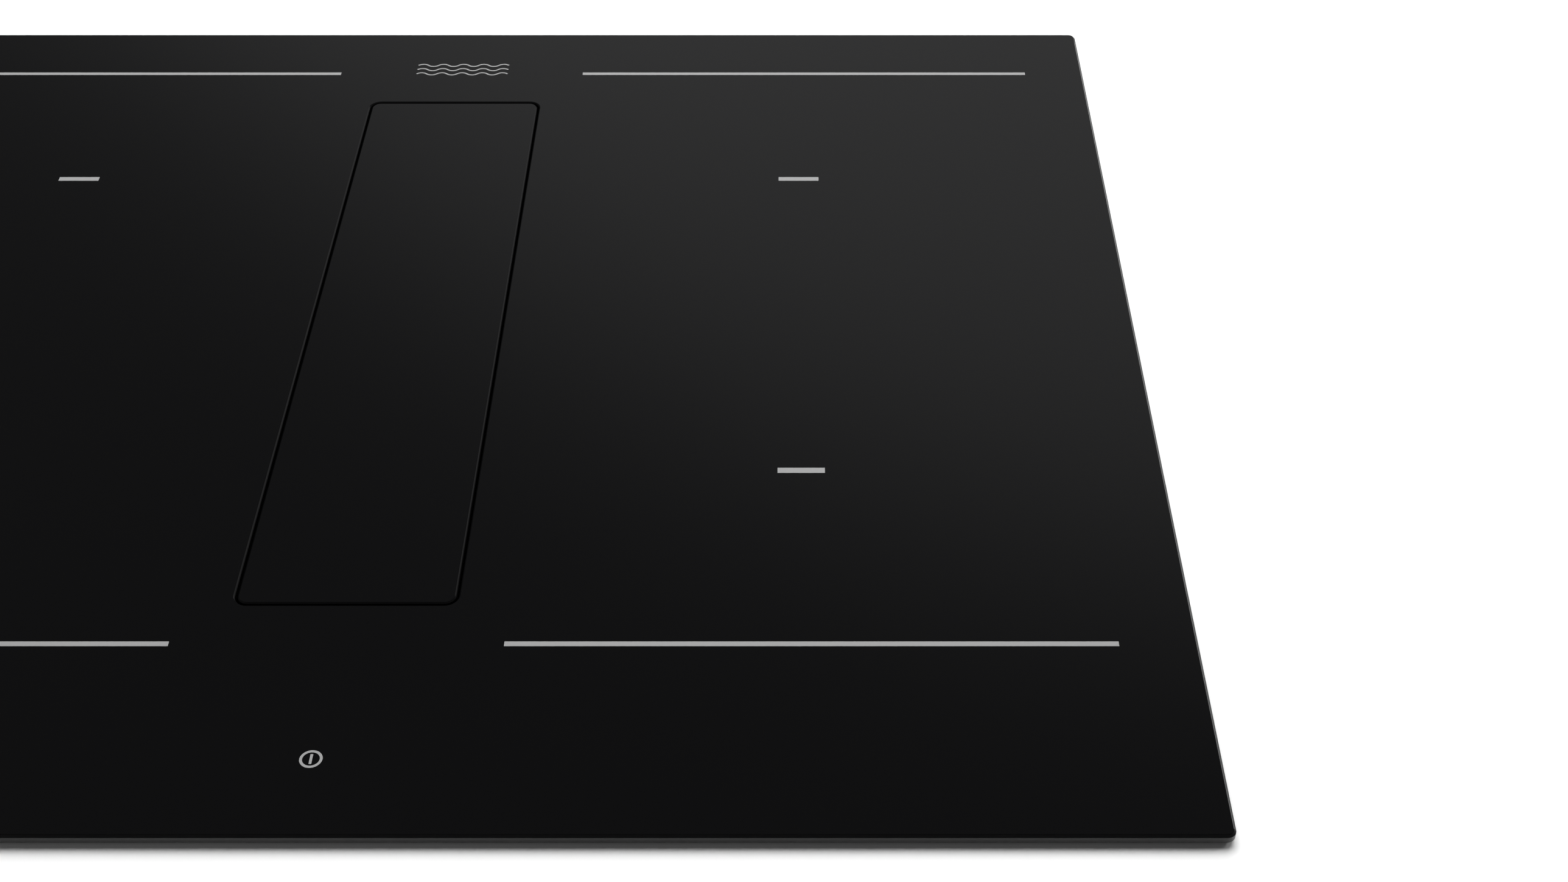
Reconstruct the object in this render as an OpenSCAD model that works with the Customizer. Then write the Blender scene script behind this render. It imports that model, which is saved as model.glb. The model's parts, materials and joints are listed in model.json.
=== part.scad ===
// Built-in electric induction cooktop with a downdraft extractor in its middle.
// Lengths are in millimetres. The origin is the centre of the plane where the seal rests
// on the worktop, with +X to the user's right, +Y to the back and +Z up.

/* [Glass] */
// Width of the glass plate
glass_w = 600; // [500:5:720]
// Depth of the glass plate, front to back
glass_d = 510; // [425:5:612]
// Thickness of the glass plate
glass_t = 4; // [3:0.1:6]
// Radius of the plate's corners
glass_corner_r = 3.2; // [2:0.1:8]
// Ground bevel along the plate's edges
glass_bevel = 0.9; // [0.3:0.1:1.2]
// Thickness of the foam seal once it is pressed on the worktop
seal_t = 1; // [0.5:0.1:3]

/* [Extractor opening] */
// Width of the cut-out in the glass
opening_w = 80; // [66:0.5:98]
// Distance from the back edge of the glass to the cut-out
opening_back_margin = 64.5; // [60:0.5:80]
// Distance from the front edge of the glass to the cut-out
opening_front_margin = 105; // [95:0.5:130]
// Corner radius of the cut-out
opening_r = 5; // [3:0.5:8]
// Gap at the short ends of the flap
flap_end_gap = 1; // [0.6:0.1:2]
// Gap left between the tilting flap's long edge and the glass
flap_swing_gap = 0.35; // [0.2:0.05:1]
// Bevel on the flap and around the cut-out
flap_bevel = 0.5; // [0.2:0.1:0.8]

/* [Printed marks] */
// Thickness of the ceramic print
print_t = 0.05; // [0.03:0.01:0.1]
// Width of the long zone lines
line_t = 2.3; // [1:0.1:4]
// Distance from the back edge to the back lines
back_line_margin = 38.4; // [30:0.2:50]
// Distance from the front edge to the front lines
front_line_margin = 85.6; // [78:0.2:95]
// Distance from the side edge to the outer end of a line
line_side_margin = 27.8; // [20:0.2:40]
// Distance from the cut-out to the inner end of a line
line_inner_gap = 18.4; // [10:0.1:25]
// Length of the dash at a zone's centre
dash_l = 18; // [10:0.2:25]
// Width of the dash at a zone's centre
dash_t = 3; // [1:0.1:4]
// Distance from the front edge to the touch symbol
touch_margin = 32.5; // [30:0.5:40]
// Outer radius of the touch symbol
touch_r = 3.85; // [3:0.05:6]
// Distance from the back edge to the air symbol
air_margin = 34.5; // [20:0.1:36]

/* [Worktop cut-out] */
// Overhang of the glass over the cut-out at the sides
rim_x = 20; // [15:1:30]
// Overhang of the glass over the cut-out at the front and back
rim_y = 10; // [8:1:14]
// Gap between the housing and the cut-out
housing_gap = 4; // [4:0.5:6]

/* [Housing] */
// Height of the housing below the glass
housing_h = 51; // [48:1:62]
// Thickness of the folded sheet steel
sheet_t = 0.8; // [0.6:0.1:1.2]
// Depth of the whole unit below the worktop
unit_depth = 198; // [190:1:240]

/* [Extractor] */
// Wall of the moulded plastic parts
wall = 2; // [1.5:0.1:2.5]
// Outer width of the flat duct spigot
collar_w = 218; // [180:1:220]
// Outer height of the flat duct spigot
collar_h = 86; // [74:1:86]
// Length of the flat duct spigot
collar_l = 36; // [30:1:40]
// Height of the blower's scroll
scroll_h = 62; // [56:1:62]
// Radius of the impeller
impeller_r = 72; // [60:1:76]
// Radius of the motor's shaft
shaft_r = 4; // [3:0.1:5]
// Radius of the flap's pivot pins
pin_r = 1.5; // [1.2:0.1:1.6]
// Radial clearance of a shaft or pin in its bearing
running_gap = 0.05; // [0.03:0.01:0.1]

/* [Electronics] */
// Thickness of a circuit board
board_t = 1.6; // [1:0.1:2]
// Side of a cooling fan's square frame
fan_size = 80; // [70:1:90]
// Height of a cooling fan
fan_h = 20; // [18:1:24]

/* [Hidden] */
$fn = 48;

// Levels, from the glass down
glass_z = seal_t;
top_z = glass_z + glass_t;
housing_z = glass_z - housing_h;
floor_z = housing_z + sheet_t;
casing_z = -unit_depth;

// Glass and flap
opening_d = glass_d - opening_back_margin - opening_front_margin;
opening_y = (opening_front_margin - opening_back_margin) / 2;
pivot_drop = 3.2;
pivot_z = glass_z - pivot_drop;
flap_r = opening_w / 2 - flap_swing_gap;
flap_half_w = sqrt(pow(flap_r, 2) - pow(top_z - pivot_z, 2));
flap_d = opening_d - 2 * flap_end_gap;
flap_corner_r = opening_r - flap_end_gap;

// Zones
back_line_y = glass_d / 2 - back_line_margin;
front_line_y = front_line_margin - glass_d / 2;
zone_y = (back_line_y + front_line_y) / 2;
zone_spread = 8.25;
zone_pitch = (back_line_y - front_line_y) / 2 + zone_spread;
zone_side_margin = 15.5;
zone_x = (opening_w / 2 + glass_w / 2 - zone_side_margin) / 2;
zones = [[-1, 1], [1, 1], [-1, -1], [1, -1]];
touch_y = touch_margin - glass_d / 2;

// Housing and the frame bonded under the glass
cutout_w = glass_w - 2 * rim_x;
cutout_d = glass_d - 2 * rim_y;
housing_w = cutout_w - 2 * housing_gap;
housing_d = cutout_d - 2 * housing_gap;
housing_r = 6;
inner_w = housing_w - 2 * sheet_t;
inner_d = housing_d - 2 * sheet_t;
wall_top_z = glass_z - 1;
frame_gap = 0.4;
frame_w = inner_w - 2 * frame_gap;
frame_d = inner_d - 2 * frame_gap;
frame_t = 1.5;
frame_leg = 12;
frame_h = 8;
frame_screw_r = 1.5;
frame_screw_z = glass_z - 4.5;

// Well and cassette
well_gap = 1;
well_w = opening_w + 2 * well_gap;
well_d = opening_d + 2 * well_gap;
well_r = opening_r + well_gap;
well_rim = 8;
well_drop = 6;
well_z = housing_z - well_drop;
intake_seal_t = 0.8;
rim_top_z = glass_z - intake_seal_t;
cassette_half_w = flap_half_w;
cassette_gap = 0.5;
cassette_d = flap_d - 2 * cassette_gap;
end_t = 3;
end_face = cassette_d / 2 - end_t;
lug_t = 1.5;
lug_gap = 1;
swing_clearance = 1;
side_top_z = pivot_z - sqrt(pow(flap_r, 2) - pow(cassette_half_w - wall, 2)) - swing_clearance;
collar_lift = 10;
collar_z = casing_z + collar_lift;
tub_clearance = 4;
cassette_z = collar_z + collar_h + tub_clearance;
tub_h = 10;
tub_top_z = cassette_z + tub_h;
window_gap = 2;
window_z = tub_top_z + window_gap;
window_top_z = well_z - window_gap;
mesh_t = 2;

// Coils and what carries them
coil_gap = 24;
coil_w = 2 * (zone_x - opening_w / 2 - coil_gap);
coil_pair_gap = 9.5;
coil_d = zone_pitch - coil_pair_gap;
coil_r = 60;
coil_hole = 56;
mica_t = 0.5;
coil_t = 5;
former_t = 2;
ferrite_t = 5;
tray_t = 1.5;
coil_z = glass_z - mica_t - coil_t;
former_z = coil_z - former_t;
ferrite_z = former_z - ferrite_t;
tray_z = ferrite_z - tray_t;
tray_side_margin = 7;
tray_end_margin = 3;
tray_w = coil_w + 2 * tray_side_margin;
tray_d = zone_pitch + coil_d + 2 * tray_end_margin;
sensor_r = 6;
spring_r = 3.5;

// Boards and fans
board_lift = 8;
board_z = floor_z + board_lift;
board_top_z = board_z + board_t;
board_inset = 3;
fan_room = 40;
board_w = coil_w - 2 * board_inset;
board_d = zone_pitch - fan_room;
board_y = zone_y + fan_room / 2;
fan_side_gap = 8;
fan_board_gap = 12;
fan_x = inner_w / 2 - fan_size / 2 - fan_side_gap;
fan_y = board_y - board_d / 2 - fan_size / 2 - fan_board_gap;
fan_rim = 3;
fan_hole_r = fan_size / 2 - fan_rim;
fan_hub_r = 15;
sink_w = 60;
sink_end_gap = 20;
sink_side_gap = 10;
sink_d = board_d - 2 * sink_end_gap;
sink_x = zone_x + board_w / 2 - sink_w / 2 - sink_side_gap;
control_w = 300;
control_wall_gap = 4;
control_tray_gap = 6;
control_y = -inner_d / 2 + control_wall_gap;
control_d = zone_y - tray_d / 2 - control_tray_gap - control_y;
cradle_drop = 15;
control_drop = 10;
control_z = glass_z - cradle_drop;
control_board_z = glass_z - control_drop;
filter_d = 70;
filter_w = 120;
filter_wall_gap = 15;
filter_side_gap = 40;
filter_y = inner_d / 2 - filter_wall_gap - filter_d / 2;
terminal_side_gap = 60;
terminal_wall_gap = 30;
terminal_x = -inner_w / 2 + terminal_side_gap;
terminal_y = inner_d / 2 - terminal_wall_gap;
gland_offset = [45, -8];
gland_x = terminal_x + gland_offset.x;
gland_y = terminal_y + gland_offset.y;
gland_r = 5.5;

// Blower
foot_lift = 4;
scroll_z = casing_z + foot_lift;
scroll_top_z = scroll_z + scroll_h;
tongue_angle = 60;
scroll_clearance = 6;
scroll_r0 = impeller_r + scroll_clearance;
scroll_growth = 34;
scroll_neck = 20;
transition_d = 40;
duct_wall_gap = 3;
casing_back_y = cutout_d / 2 - duct_wall_gap - collar_l;
outlet_y = casing_back_y - transition_d;
outlet_overlap = 3;
blower_x = scroll_r0 - outlet_overlap;
blower_y = outlet_y - scroll_neck - scroll_radius(90);
inlet_step = 20;
motor_step = 38;
cup_clearance = 4;
impeller_gap = 6;
shaft_stop = 8;
inlet_r = impeller_r - inlet_step;
motor_r = impeller_r - motor_step;
cup_r = motor_r + cup_clearance;
impeller_z = scroll_z + impeller_gap;
impeller_h = scroll_h - 2 * impeller_gap;
shaft_top_z = impeller_z + impeller_h - shaft_stop;
outlet_x0 = blower_x - scroll_radius(360);
outlet_x1 = blower_x - scroll_radius(tongue_angle) * cos(tongue_angle);

// Lower casing
casing_side_gap = 20;
casing_scroll_gap = 8;
casing_well_gap = 12;
casing_flange = 10;
casing_x0 = -collar_w / 2 - casing_side_gap;
casing_x1 = blower_x + scroll_radius(180) + casing_scroll_gap;
casing_y0 = opening_y - well_d / 2 - casing_well_gap;
hatch_w = 140;
hatch_h = 70;
hatch_y = (casing_y0 + casing_back_y) / 2;
hatch_z = (casing_z + housing_z) / 2;
duct_screw_r = 2.1;
duct_screw_gap = 12;
duct_screw_x = collar_w / 2 + duct_screw_gap;
duct_screw_dz = 30;
stirrup_offset = 120;
stirrup_ys = [opening_y - stirrup_offset, opening_y + stirrup_offset];

// Radius of the scroll's wall, a given number of degrees round from the tongue side
function scroll_radius(turn) = scroll_r0 + scroll_growth * turn / 360;

// Rectangle with round corners, centred
module rounded_rect(w, d, r) {
    square([w - 2 * r, d], center = true);
    square([w, d - 2 * r], center = true);
    for (x = [-1, 1], y = [-1, 1])
        translate([x * (w / 2 - r), y * (d / 2 - r)])
            circle(r);
}

// Rounded rectangle with a smaller one cut out of it
module rounded_ring(w, d, r, band) {
    difference() {
        rounded_rect(w, d, r);
        rounded_rect(w - 2 * band, d - 2 * band, max(r - band, 1));
    }
}

// Plate with round corners whose lower and upper edges are bevelled
module beveled_slab(w, d, t, r, low, high) {
    for (turn = [0, 1]) {
        span = turn == 0 ? w : d;
        run = turn == 0 ? d - 2 * r : w - 2 * r;
        rotate([90, 0, turn * 90])
            translate([0, 0, -run / 2])
                linear_extrude(run)
                    polygon([[low - span / 2, 0], [span / 2 - low, 0], [span / 2, low],
                        [span / 2, t - high], [span / 2 - high, t], [high - span / 2, t],
                        [-span / 2, t - high], [-span / 2, low]]);
    }
    for (x = [-1, 1], y = [-1, 1])
        translate([x * (w / 2 - r), y * (d / 2 - r), 0])
            rotate_extrude()
                polygon([[0, 0], [r - low, 0], [r, low], [r, t - high], [r - high, t], [0, t]]);
}

// Box from one corner to the opposite one
module span_box(low, high) {
    translate(low)
        cube(high - low);
}

// Round tube standing on z = 0
module tube(outer_r, inner_r, h) {
    difference() {
        cylinder(r = outer_r, h = h);
        translate([0, 0, -1])
            cylinder(r = inner_r, h = h + 2);
    }
}

// Pan-head screw along +Z, its head above z = 0 and its shank below
module pan_screw(r, l) {
    difference() {
        union() {
            cylinder(r = 1.8 * r, h = 1.2 * r);
            translate([0, 0, -l])
                cylinder(r = r, h = l + 0.1);
        }
        for (turn = [0, 90])
            rotate([0, 0, turn])
                translate([-1.1 * r, -0.25 * r, 0.6 * r])
                    cube([2.2 * r, 0.5 * r, r]);
    }
}

module glass_plate() {
    flare = 1;
    color("#26282a")
        difference() {
            translate([0, 0, glass_z])
                beveled_slab(glass_w, glass_d, glass_t, glass_corner_r, glass_bevel, glass_bevel);
            translate([0, opening_y, glass_z - 1])
                linear_extrude(glass_t + 2)
                    rounded_rect(opening_w, opening_d, opening_r);
            translate([0, opening_y, top_z - flap_bevel])
                beveled_slab(opening_w + 2 * (flap_bevel + flare), opening_d + 2 * (flap_bevel + flare),
                    flap_bevel + 2 * flare, opening_r + flap_bevel + flare, flap_bevel + flare, 0);
        }
}

module zone_lines() {
    line_x0 = opening_w / 2 + line_inner_gap;
    line_x1 = glass_w / 2 - line_side_margin;
    color("#9a9a9a")
        for (side = [-1, 1], y = [back_line_y, front_line_y])
            translate([side * (line_x0 + line_x1) / 2, y, top_z + print_t / 2])
                cube([line_x1 - line_x0, line_t, print_t], center = true);
}

module zone_dashes() {
    color("#9a9a9a")
        for (zone = zones)
            translate([zone[0] * zone_x, zone_y + zone[1] * zone_pitch / 2, top_z + print_t / 2])
                cube([dash_l, dash_t, print_t], center = true);
}

module touch_symbol() {
    ring_t = 0.95;
    bar_t = 0.9;
    bar_l = 4.3;
    color("#9a9a9a")
        translate([0, touch_y, top_z])
            linear_extrude(print_t) {
                difference() {
                    circle(touch_r);
                    circle(touch_r - ring_t);
                }
                square([bar_t, bar_l], center = true);
            }
}

// Three wavy lines for moving air, each made of quarter arcs
module air_symbol() {
    arc_r = 3.45;
    band = 0.8;
    arcs = 9;
    row_pitch = 4;
    chord = arc_r * sqrt(2);
    color("#9a9a9a")
        translate([0, glass_d / 2 - air_margin, top_z])
            for (row = [-1:1], i = [0:arcs - 1])
                translate([(i - (arcs - 1) / 2) * chord, row * row_pitch, 0])
                    mirror([0, i % 2, 0])
                        translate([0, -arc_r * cos(45), 0])
                            linear_extrude(print_t)
                                intersection() {
                                    difference() {
                                        circle(arc_r + band / 2);
                                        circle(arc_r - band / 2);
                                    }
                                    polygon([[0, 0], [2 * arc_r, 2 * arc_r],
                                        [-2 * arc_r, 2 * arc_r]]);
                                }
}

module worktop_seal() {
    inset = 2;
    band = 6;
    color("#303030")
        linear_extrude(seal_t)
            rounded_ring(glass_w - 2 * inset, glass_d - 2 * inset, 4, band);
}

module intake_seal() {
    color("#3a3a3a")
        translate([0, opening_y, rim_top_z])
            linear_extrude(intake_seal_t)
                rounded_ring(well_w + 2 * well_rim, well_d + 2 * well_rim, well_r + well_rim, well_rim);
}

module flap_glass() {
    color("#26282a")
        translate([0, opening_y, glass_z])
            beveled_slab(2 * flap_half_w, flap_d, glass_t, flap_corner_r, 0.3, flap_bevel);
}

module flap_carrier() {
    plate_t = 1.2;
    half_w = flap_half_w - 9.3;
    half_d = end_face - lug_gap;
    color("#b8bcc0")
        translate([0, opening_y, 0]) {
            span_box([-half_w, -half_d, glass_z - plate_t], [half_w, half_d, glass_z]);
            for (side = [-1, 1])
                translate([side * (half_w - plate_t / 2), 0, glass_z - plate_t - 2])
                    cube([plate_t, 2 * half_d, 4], center = true);
            for (side = [-1, 1])
                difference() {
                    translate([0, side * (half_d - lug_t / 2), pivot_z - 1])
                        cube([16, lug_t, 2 * (pivot_drop - plate_t + 1)], center = true);
                    translate([0, side * half_d, pivot_z])
                        rotate([90, 0, 0])
                            cylinder(r = pin_r, h = 4 * lug_t, center = true);
                }
        }
}

// Each pin has a head inside the carrier's lug and runs in the cassette's end plate
module flap_pins() {
    head_t = 1;
    pin_l = head_t + lug_t + lug_gap + end_t - 0.5;
    color("#d0d2d4")
        for (side = [-1, 1])
            translate([0, opening_y + side * (end_face - lug_gap - lug_t - head_t), pivot_z])
                rotate([-side * 90, 0, 0]) {
                    cylinder(r = pin_r, h = pin_l);
                    cylinder(r = pin_r + 0.4, h = head_t);
                }
}

// The end plates stay clear of the flap, which tips down to the right by up to 45 degrees
module cassette_frame() {
    ear_z = pivot_z + pivot_drop - 0.3;
    slope = 3.8;
    half_w = cassette_half_w;
    windows = 3;
    rib = 10;
    window_l = (2 * end_face - (windows + 1) * rib) / windows;
    color("#2b2c2e")
        translate([0, opening_y, 0])
            difference() {
                intersection() {
                    union() {
                        for (side = [-1, 1])
                            translate([0, side * (end_face + end_t / 2), 0])
                                rotate([90, 0, 0])
                                    translate([0, 0, -end_t / 2])
                                        linear_extrude(end_t)
                                            polygon([[-half_w, tub_top_z], [half_w, tub_top_z],
                                                [half_w, pivot_z + slope - half_w],
                                                [pivot_z + slope - ear_z, ear_z], [-12, ear_z],
                                                [-half_w, side_top_z]]);
                        for (side = [-1, 1])
                            translate([side * (half_w - wall / 2), 0, (side_top_z + tub_top_z) / 2])
                                cube([wall, 2 * end_face, side_top_z - tub_top_z], center = true);
                    }
                    translate([0, 0, tub_top_z - 1])
                        linear_extrude(ear_z - tub_top_z + 2)
                            rounded_rect(2 * half_w, cassette_d, flap_corner_r);
                }
                translate([0, 0, pivot_z])
                    rotate([90, 0, 0])
                        cylinder(r = pin_r + running_gap, h = 2 * cassette_d, center = true);
                for (i = [0:windows - 1])
                    translate([0, (i - (windows - 1) / 2) * (window_l + rib),
                        (window_z + window_top_z) / 2])
                        cube([4 * half_w, window_l, window_top_z - window_z], center = true);
            }
}

// Perforated panel that lies against the inner face of a side wall
module filter_mesh(side) {
    pitch = 11;
    hole_r = 4.4;
    panel_l = 2 * end_face - 1;
    panel_h = window_top_z - window_z + 3;
    count = floor((panel_l - 6) / pitch);
    rows = floor((panel_h - 4) / pitch);
    color("#a9adb0")
        translate([side * (cassette_half_w - wall - mesh_t / 2), opening_y,
            (window_z + window_top_z) / 2])
            difference() {
                cube([mesh_t, panel_l, panel_h], center = true);
                for (i = [0:count - 1], j = [0:rows - 1])
                    translate([0, (i - (count - 1) / 2) * pitch, (j - (rows - 1) / 2) * pitch])
                        rotate([0, 90, 0])
                            cylinder(r = hole_r, h = 3 * mesh_t, center = true);
            }
}

module filter_mesh_left() {
    filter_mesh(-1);
}

module filter_mesh_right() {
    filter_mesh(1);
}

module grease_tub() {
    color("#2b2c2e")
        translate([0, opening_y, cassette_z])
            difference() {
                linear_extrude(tub_h)
                    rounded_rect(2 * cassette_half_w, cassette_d, flap_corner_r);
                translate([0, 0, wall])
                    linear_extrude(tub_h)
                        rounded_rect(2 * (cassette_half_w - wall), cassette_d - 2 * wall,
                            flap_corner_r - wall);
            }
}

module intake_well() {
    color("#1f2022")
        translate([0, opening_y, 0])
            difference() {
                union() {
                    translate([0, 0, rim_top_z - wall])
                        linear_extrude(wall)
                            rounded_rect(well_w + 2 * well_rim, well_d + 2 * well_rim,
                                well_r + well_rim);
                    translate([0, 0, well_z])
                        linear_extrude(rim_top_z - well_z)
                            rounded_rect(well_w + 2 * wall, well_d + 2 * wall, well_r + wall);
                }
                translate([0, 0, well_z - 1])
                    linear_extrude(rim_top_z - well_z + 2)
                        rounded_rect(well_w, well_d, well_r);
            }
}

// Strips of steel that hang from the well and carry the cassette
module cassette_stirrups() {
    strip = 1.2;
    strip_w = 12;
    half = well_w / 2 + wall;
    rest_z = cassette_z - 0.3;
    color("#b8bcc0")
        for (y = stirrup_ys)
            translate([0, y - strip_w / 2, 0])
                difference() {
                    span_box([-half - strip, 0, rest_z - strip], [half + strip, strip_w, housing_z - 0.5]);
                    span_box([-half, -1, rest_z], [half, strip_w + 1, housing_z]);
                }
}

// Places one screw or hole at each spot round the housing, +Z pointing outwards
module round_the_frame() {
    for (turn = [0:3], i = [-1:1]) {
        half = turn % 2 == 0 ? housing_w / 2 : housing_d / 2;
        run = turn % 2 == 0 ? housing_d / 2 : housing_w / 2;
        rotate([0, 0, turn * 90])
            translate([half, i * (run - 60), frame_screw_z])
                rotate([0, 90, 0])
                    children();
    }
}

module glass_frame() {
    color("#a3a7ab")
        difference() {
            translate([0, 0, glass_z - frame_h])
                linear_extrude(frame_h)
                    rounded_rect(frame_w, frame_d, housing_r - sheet_t - frame_gap);
            translate([0, 0, glass_z - frame_h - 1])
                linear_extrude(frame_h + 1 - frame_t)
                    rounded_rect(frame_w - 2 * frame_t, frame_d - 2 * frame_t, 3);
            translate([0, 0, glass_z - frame_h - 1])
                linear_extrude(frame_h + 2)
                    rounded_rect(frame_w - 2 * frame_leg, frame_d - 2 * frame_leg, 3);
            round_the_frame()
                cylinder(r = frame_screw_r, h = 10, center = true);
        }
}

// Rows of slots in a wall that faces the front, centred on x
module vent_slots(x, count) {
    for (row = [0, 1], i = [0:count - 1])
        translate([x + (i - (count - 1) / 2) * 12, 0, row * 12])
            cube([7, 8, 8], center = true);
}

module housing_tray() {
    color("#9ea2a5")
        difference() {
            translate([0, 0, housing_z])
                linear_extrude(wall_top_z - housing_z)
                    rounded_rect(housing_w, housing_d, housing_r);
            translate([0, 0, floor_z])
                linear_extrude(wall_top_z - housing_z)
                    rounded_rect(inner_w, inner_d, housing_r - sheet_t);
            translate([0, opening_y, housing_z - 1])
                linear_extrude(sheet_t + 2)
                    rounded_rect(well_w + 2 * wall + 3, well_d + 2 * wall + 3, well_r + wall + 1.5);
            for (side = [-1, 1], i = [-3:3])
                translate([side * fan_x, fan_y + i * 8, housing_z])
                    cube([2 * sqrt(pow(fan_hole_r - 4, 2) - pow(i * 8, 2)), 4, 4], center = true);
            for (side = [-1, 1])
                translate([0, -housing_d / 2, (housing_z + glass_z) / 2 - 8])
                    vent_slots(side * (housing_w / 2 - 90), 8);
            for (side = [-1, 1])
                translate([0, housing_d / 2, (housing_z + glass_z) / 2 - 8])
                    vent_slots(side * (housing_w / 2 - 180), 8);
            translate([gland_x, gland_y, housing_z - 1])
                cylinder(r = gland_r + 3, h = 4);
            round_the_frame()
                cylinder(r = frame_screw_r + 0.2, h = 4, center = true);
            round_the_casing()
                cylinder(r = frame_screw_r, h = 10, center = true);
        }
}

module frame_screws() {
    color("#c8cacc")
        round_the_frame()
            pan_screw(frame_screw_r, 5);
}

// Leaf springs that hold the hob in the worktop's cut-out
module side_clips() {
    leaf = 0.7;
    bulge = housing_gap - 0.5;
    foot_z = housing_z + 8;
    color("#c8cacc")
        for (side = [0, 180], y = [-1, 1])
            rotate([0, 0, side])
                translate([housing_w / 2, y * (housing_d / 4 + 10) + 12, 0])
                    rotate([90, 0, 0])
                        linear_extrude(24)
                            polygon([[0, foot_z], [leaf, foot_z], [leaf, foot_z + 8],
                                [bulge, foot_z + 20], [leaf + 0.5, foot_z + 30], [0.5, foot_z + 30],
                                [bulge - leaf, foot_z + 20], [0, foot_z + 8.2]]);
}

module at_zone(zone) {
    translate([zone[0] * zone_x, zone_y + zone[1] * zone_pitch / 2, 0])
        children();
}

module coil(zone) {
    color("#b5652f")
        at_zone(zone)
            translate([0, 0, coil_z])
                linear_extrude(coil_t)
                    difference() {
                        rounded_rect(coil_w, coil_d, coil_r);
                        rounded_rect(coil_hole, coil_hole, 16);
                    }
}

module coil_back_left() {
    coil(zones[0]);
}

module coil_back_right() {
    coil(zones[1]);
}

module coil_front_left() {
    coil(zones[2]);
}

module coil_front_right() {
    coil(zones[3]);
}

module coil_formers() {
    color("#d8d4c8")
        for (zone = zones)
            at_zone(zone)
                translate([0, 0, former_z])
                    linear_extrude(former_t)
                        difference() {
                            rounded_rect(coil_w, coil_d, coil_r);
                            circle(sensor_r + 0.3);
                        }
}

module ferrite_bars() {
    bar_w = 14;
    inner = 36;
    outer = min(coil_w, coil_d) / 2 - 6;
    color("#33312f")
        for (zone = zones, turn = [0:45:315])
            at_zone(zone)
                rotate([0, 0, turn])
                    span_box([inner, -bar_w / 2, ferrite_z], [outer, bar_w / 2, former_z]);
}

module mica_sheets() {
    color("#cdbf9f")
        for (zone = zones)
            at_zone(zone)
                translate([0, 0, glass_z - mica_t])
                    linear_extrude(mica_t)
                        difference() {
                            rounded_rect(coil_w, coil_d, coil_r);
                            circle(sensor_r + 2);
                        }
}

module temperature_sensors() {
    color("#e8e4d8")
        for (zone = zones)
            at_zone(zone)
                translate([0, 0, ferrite_z])
                    cylinder(r = sensor_r, h = glass_z - ferrite_z);
}

module coil_tray(side) {
    color("#c4c7ca")
        translate([side * zone_x, zone_y, tray_z])
            linear_extrude(tray_t)
                difference() {
                    rounded_rect(tray_w, tray_d, 8);
                    for (row = [-1, 1], turn = [22.5:45:337.5])
                        translate([0, row * zone_pitch / 2])
                            rotate(turn)
                                translate([coil_hole, 0])
                                    circle(5);
                }
}

module coil_tray_left() {
    coil_tray(-1);
}

module coil_tray_right() {
    coil_tray(1);
}

module tray_springs() {
    color("#c8cacc")
        for (side = [-1, 1], x = [-1, 1], y = [-1, 1])
            translate([side * zone_x + x * (coil_w / 2 + 2.5), zone_y + y * (tray_d / 2 - 12), floor_z])
                tube(spring_r, spring_r - 0.8, tray_z - floor_z);
}

module board_plate(side) {
    color("#2f6b45")
        difference() {
            translate([side * zone_x, board_y, board_z + board_t / 2])
                cube([board_w, board_d, board_t], center = true);
            board_corners(side)
                cylinder(r = 2, h = 40, center = true);
        }
}

module board_corners(side) {
    for (x = [-1, 1], y = [-1, 1])
        translate([side * zone_x + x * (board_w / 2 - 6), board_y + y * (board_d / 2 - 6), board_z])
            children();
}

module power_board_left() {
    board_plate(-1);
}

module power_board_right() {
    board_plate(1);
}

// A floor plate on each side, with a post under each corner of the board
module board_carriers() {
    color("#e2e0da")
        for (side = [-1, 1]) {
            span_box([side * zone_x - board_w / 2, board_y - board_d / 2, floor_z],
                [side * zone_x + board_w / 2, board_y + board_d / 2, floor_z + 1.5]);
            board_corners(side) {
                translate([0, 0, -board_lift])
                    cylinder(r = 4, h = board_lift);
                cylinder(r = 1.8, h = board_t + 1);
            }
        }
}

module heat_sink(side) {
    base = 4;
    fins = 9;
    fin_t = 1.6;
    fin_h = 14;
    color("#b4b7ba")
        translate([side * sink_x, board_y, board_top_z])
            rotate([90, 0, 0])
                translate([0, 0, -sink_d / 2])
                    linear_extrude(sink_d) {
                        translate([-sink_w / 2, 0])
                            square([sink_w, base]);
                        for (i = [0:fins - 1])
                            translate([-sink_w / 2 + i * (sink_w - fin_t) / (fins - 1), 0])
                                square([fin_t, base + fin_h]);
                    }
}

module heat_sink_left() {
    heat_sink(-1);
}

module heat_sink_right() {
    heat_sink(1);
}

// Capacitors, film capacitors and a choke on the part of each board beside the heat sink
module board_parts() {
    cap_r = 9;
    cap_pitch = 24;
    row_y = -10;
    choke_r = 11;
    choke_wire = 5;
    choke_gap = 3;
    choke_y = row_y + cap_pitch + cap_r + choke_r + choke_wire + choke_gap;
    for (side = [-1, 1])
        translate([side * (zone_x - board_w / 2 + 34), board_y, board_top_z]) {
            color("#22252b")
                for (i = [-1:1])
                    translate([-14, i * cap_pitch + row_y, 0])
                        cylinder(r = cap_r, h = 18);
            color("#c9b458")
                for (i = [-1, 1])
                    translate([14, i * 20 + row_y - 4, 8])
                        cube([13, 30, 16], center = true);
            color("#8c4a22")
                translate([8, choke_y, choke_wire + 1])
                    rotate_extrude()
                        translate([choke_r, 0])
                            circle(choke_wire);
        }
}

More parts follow.
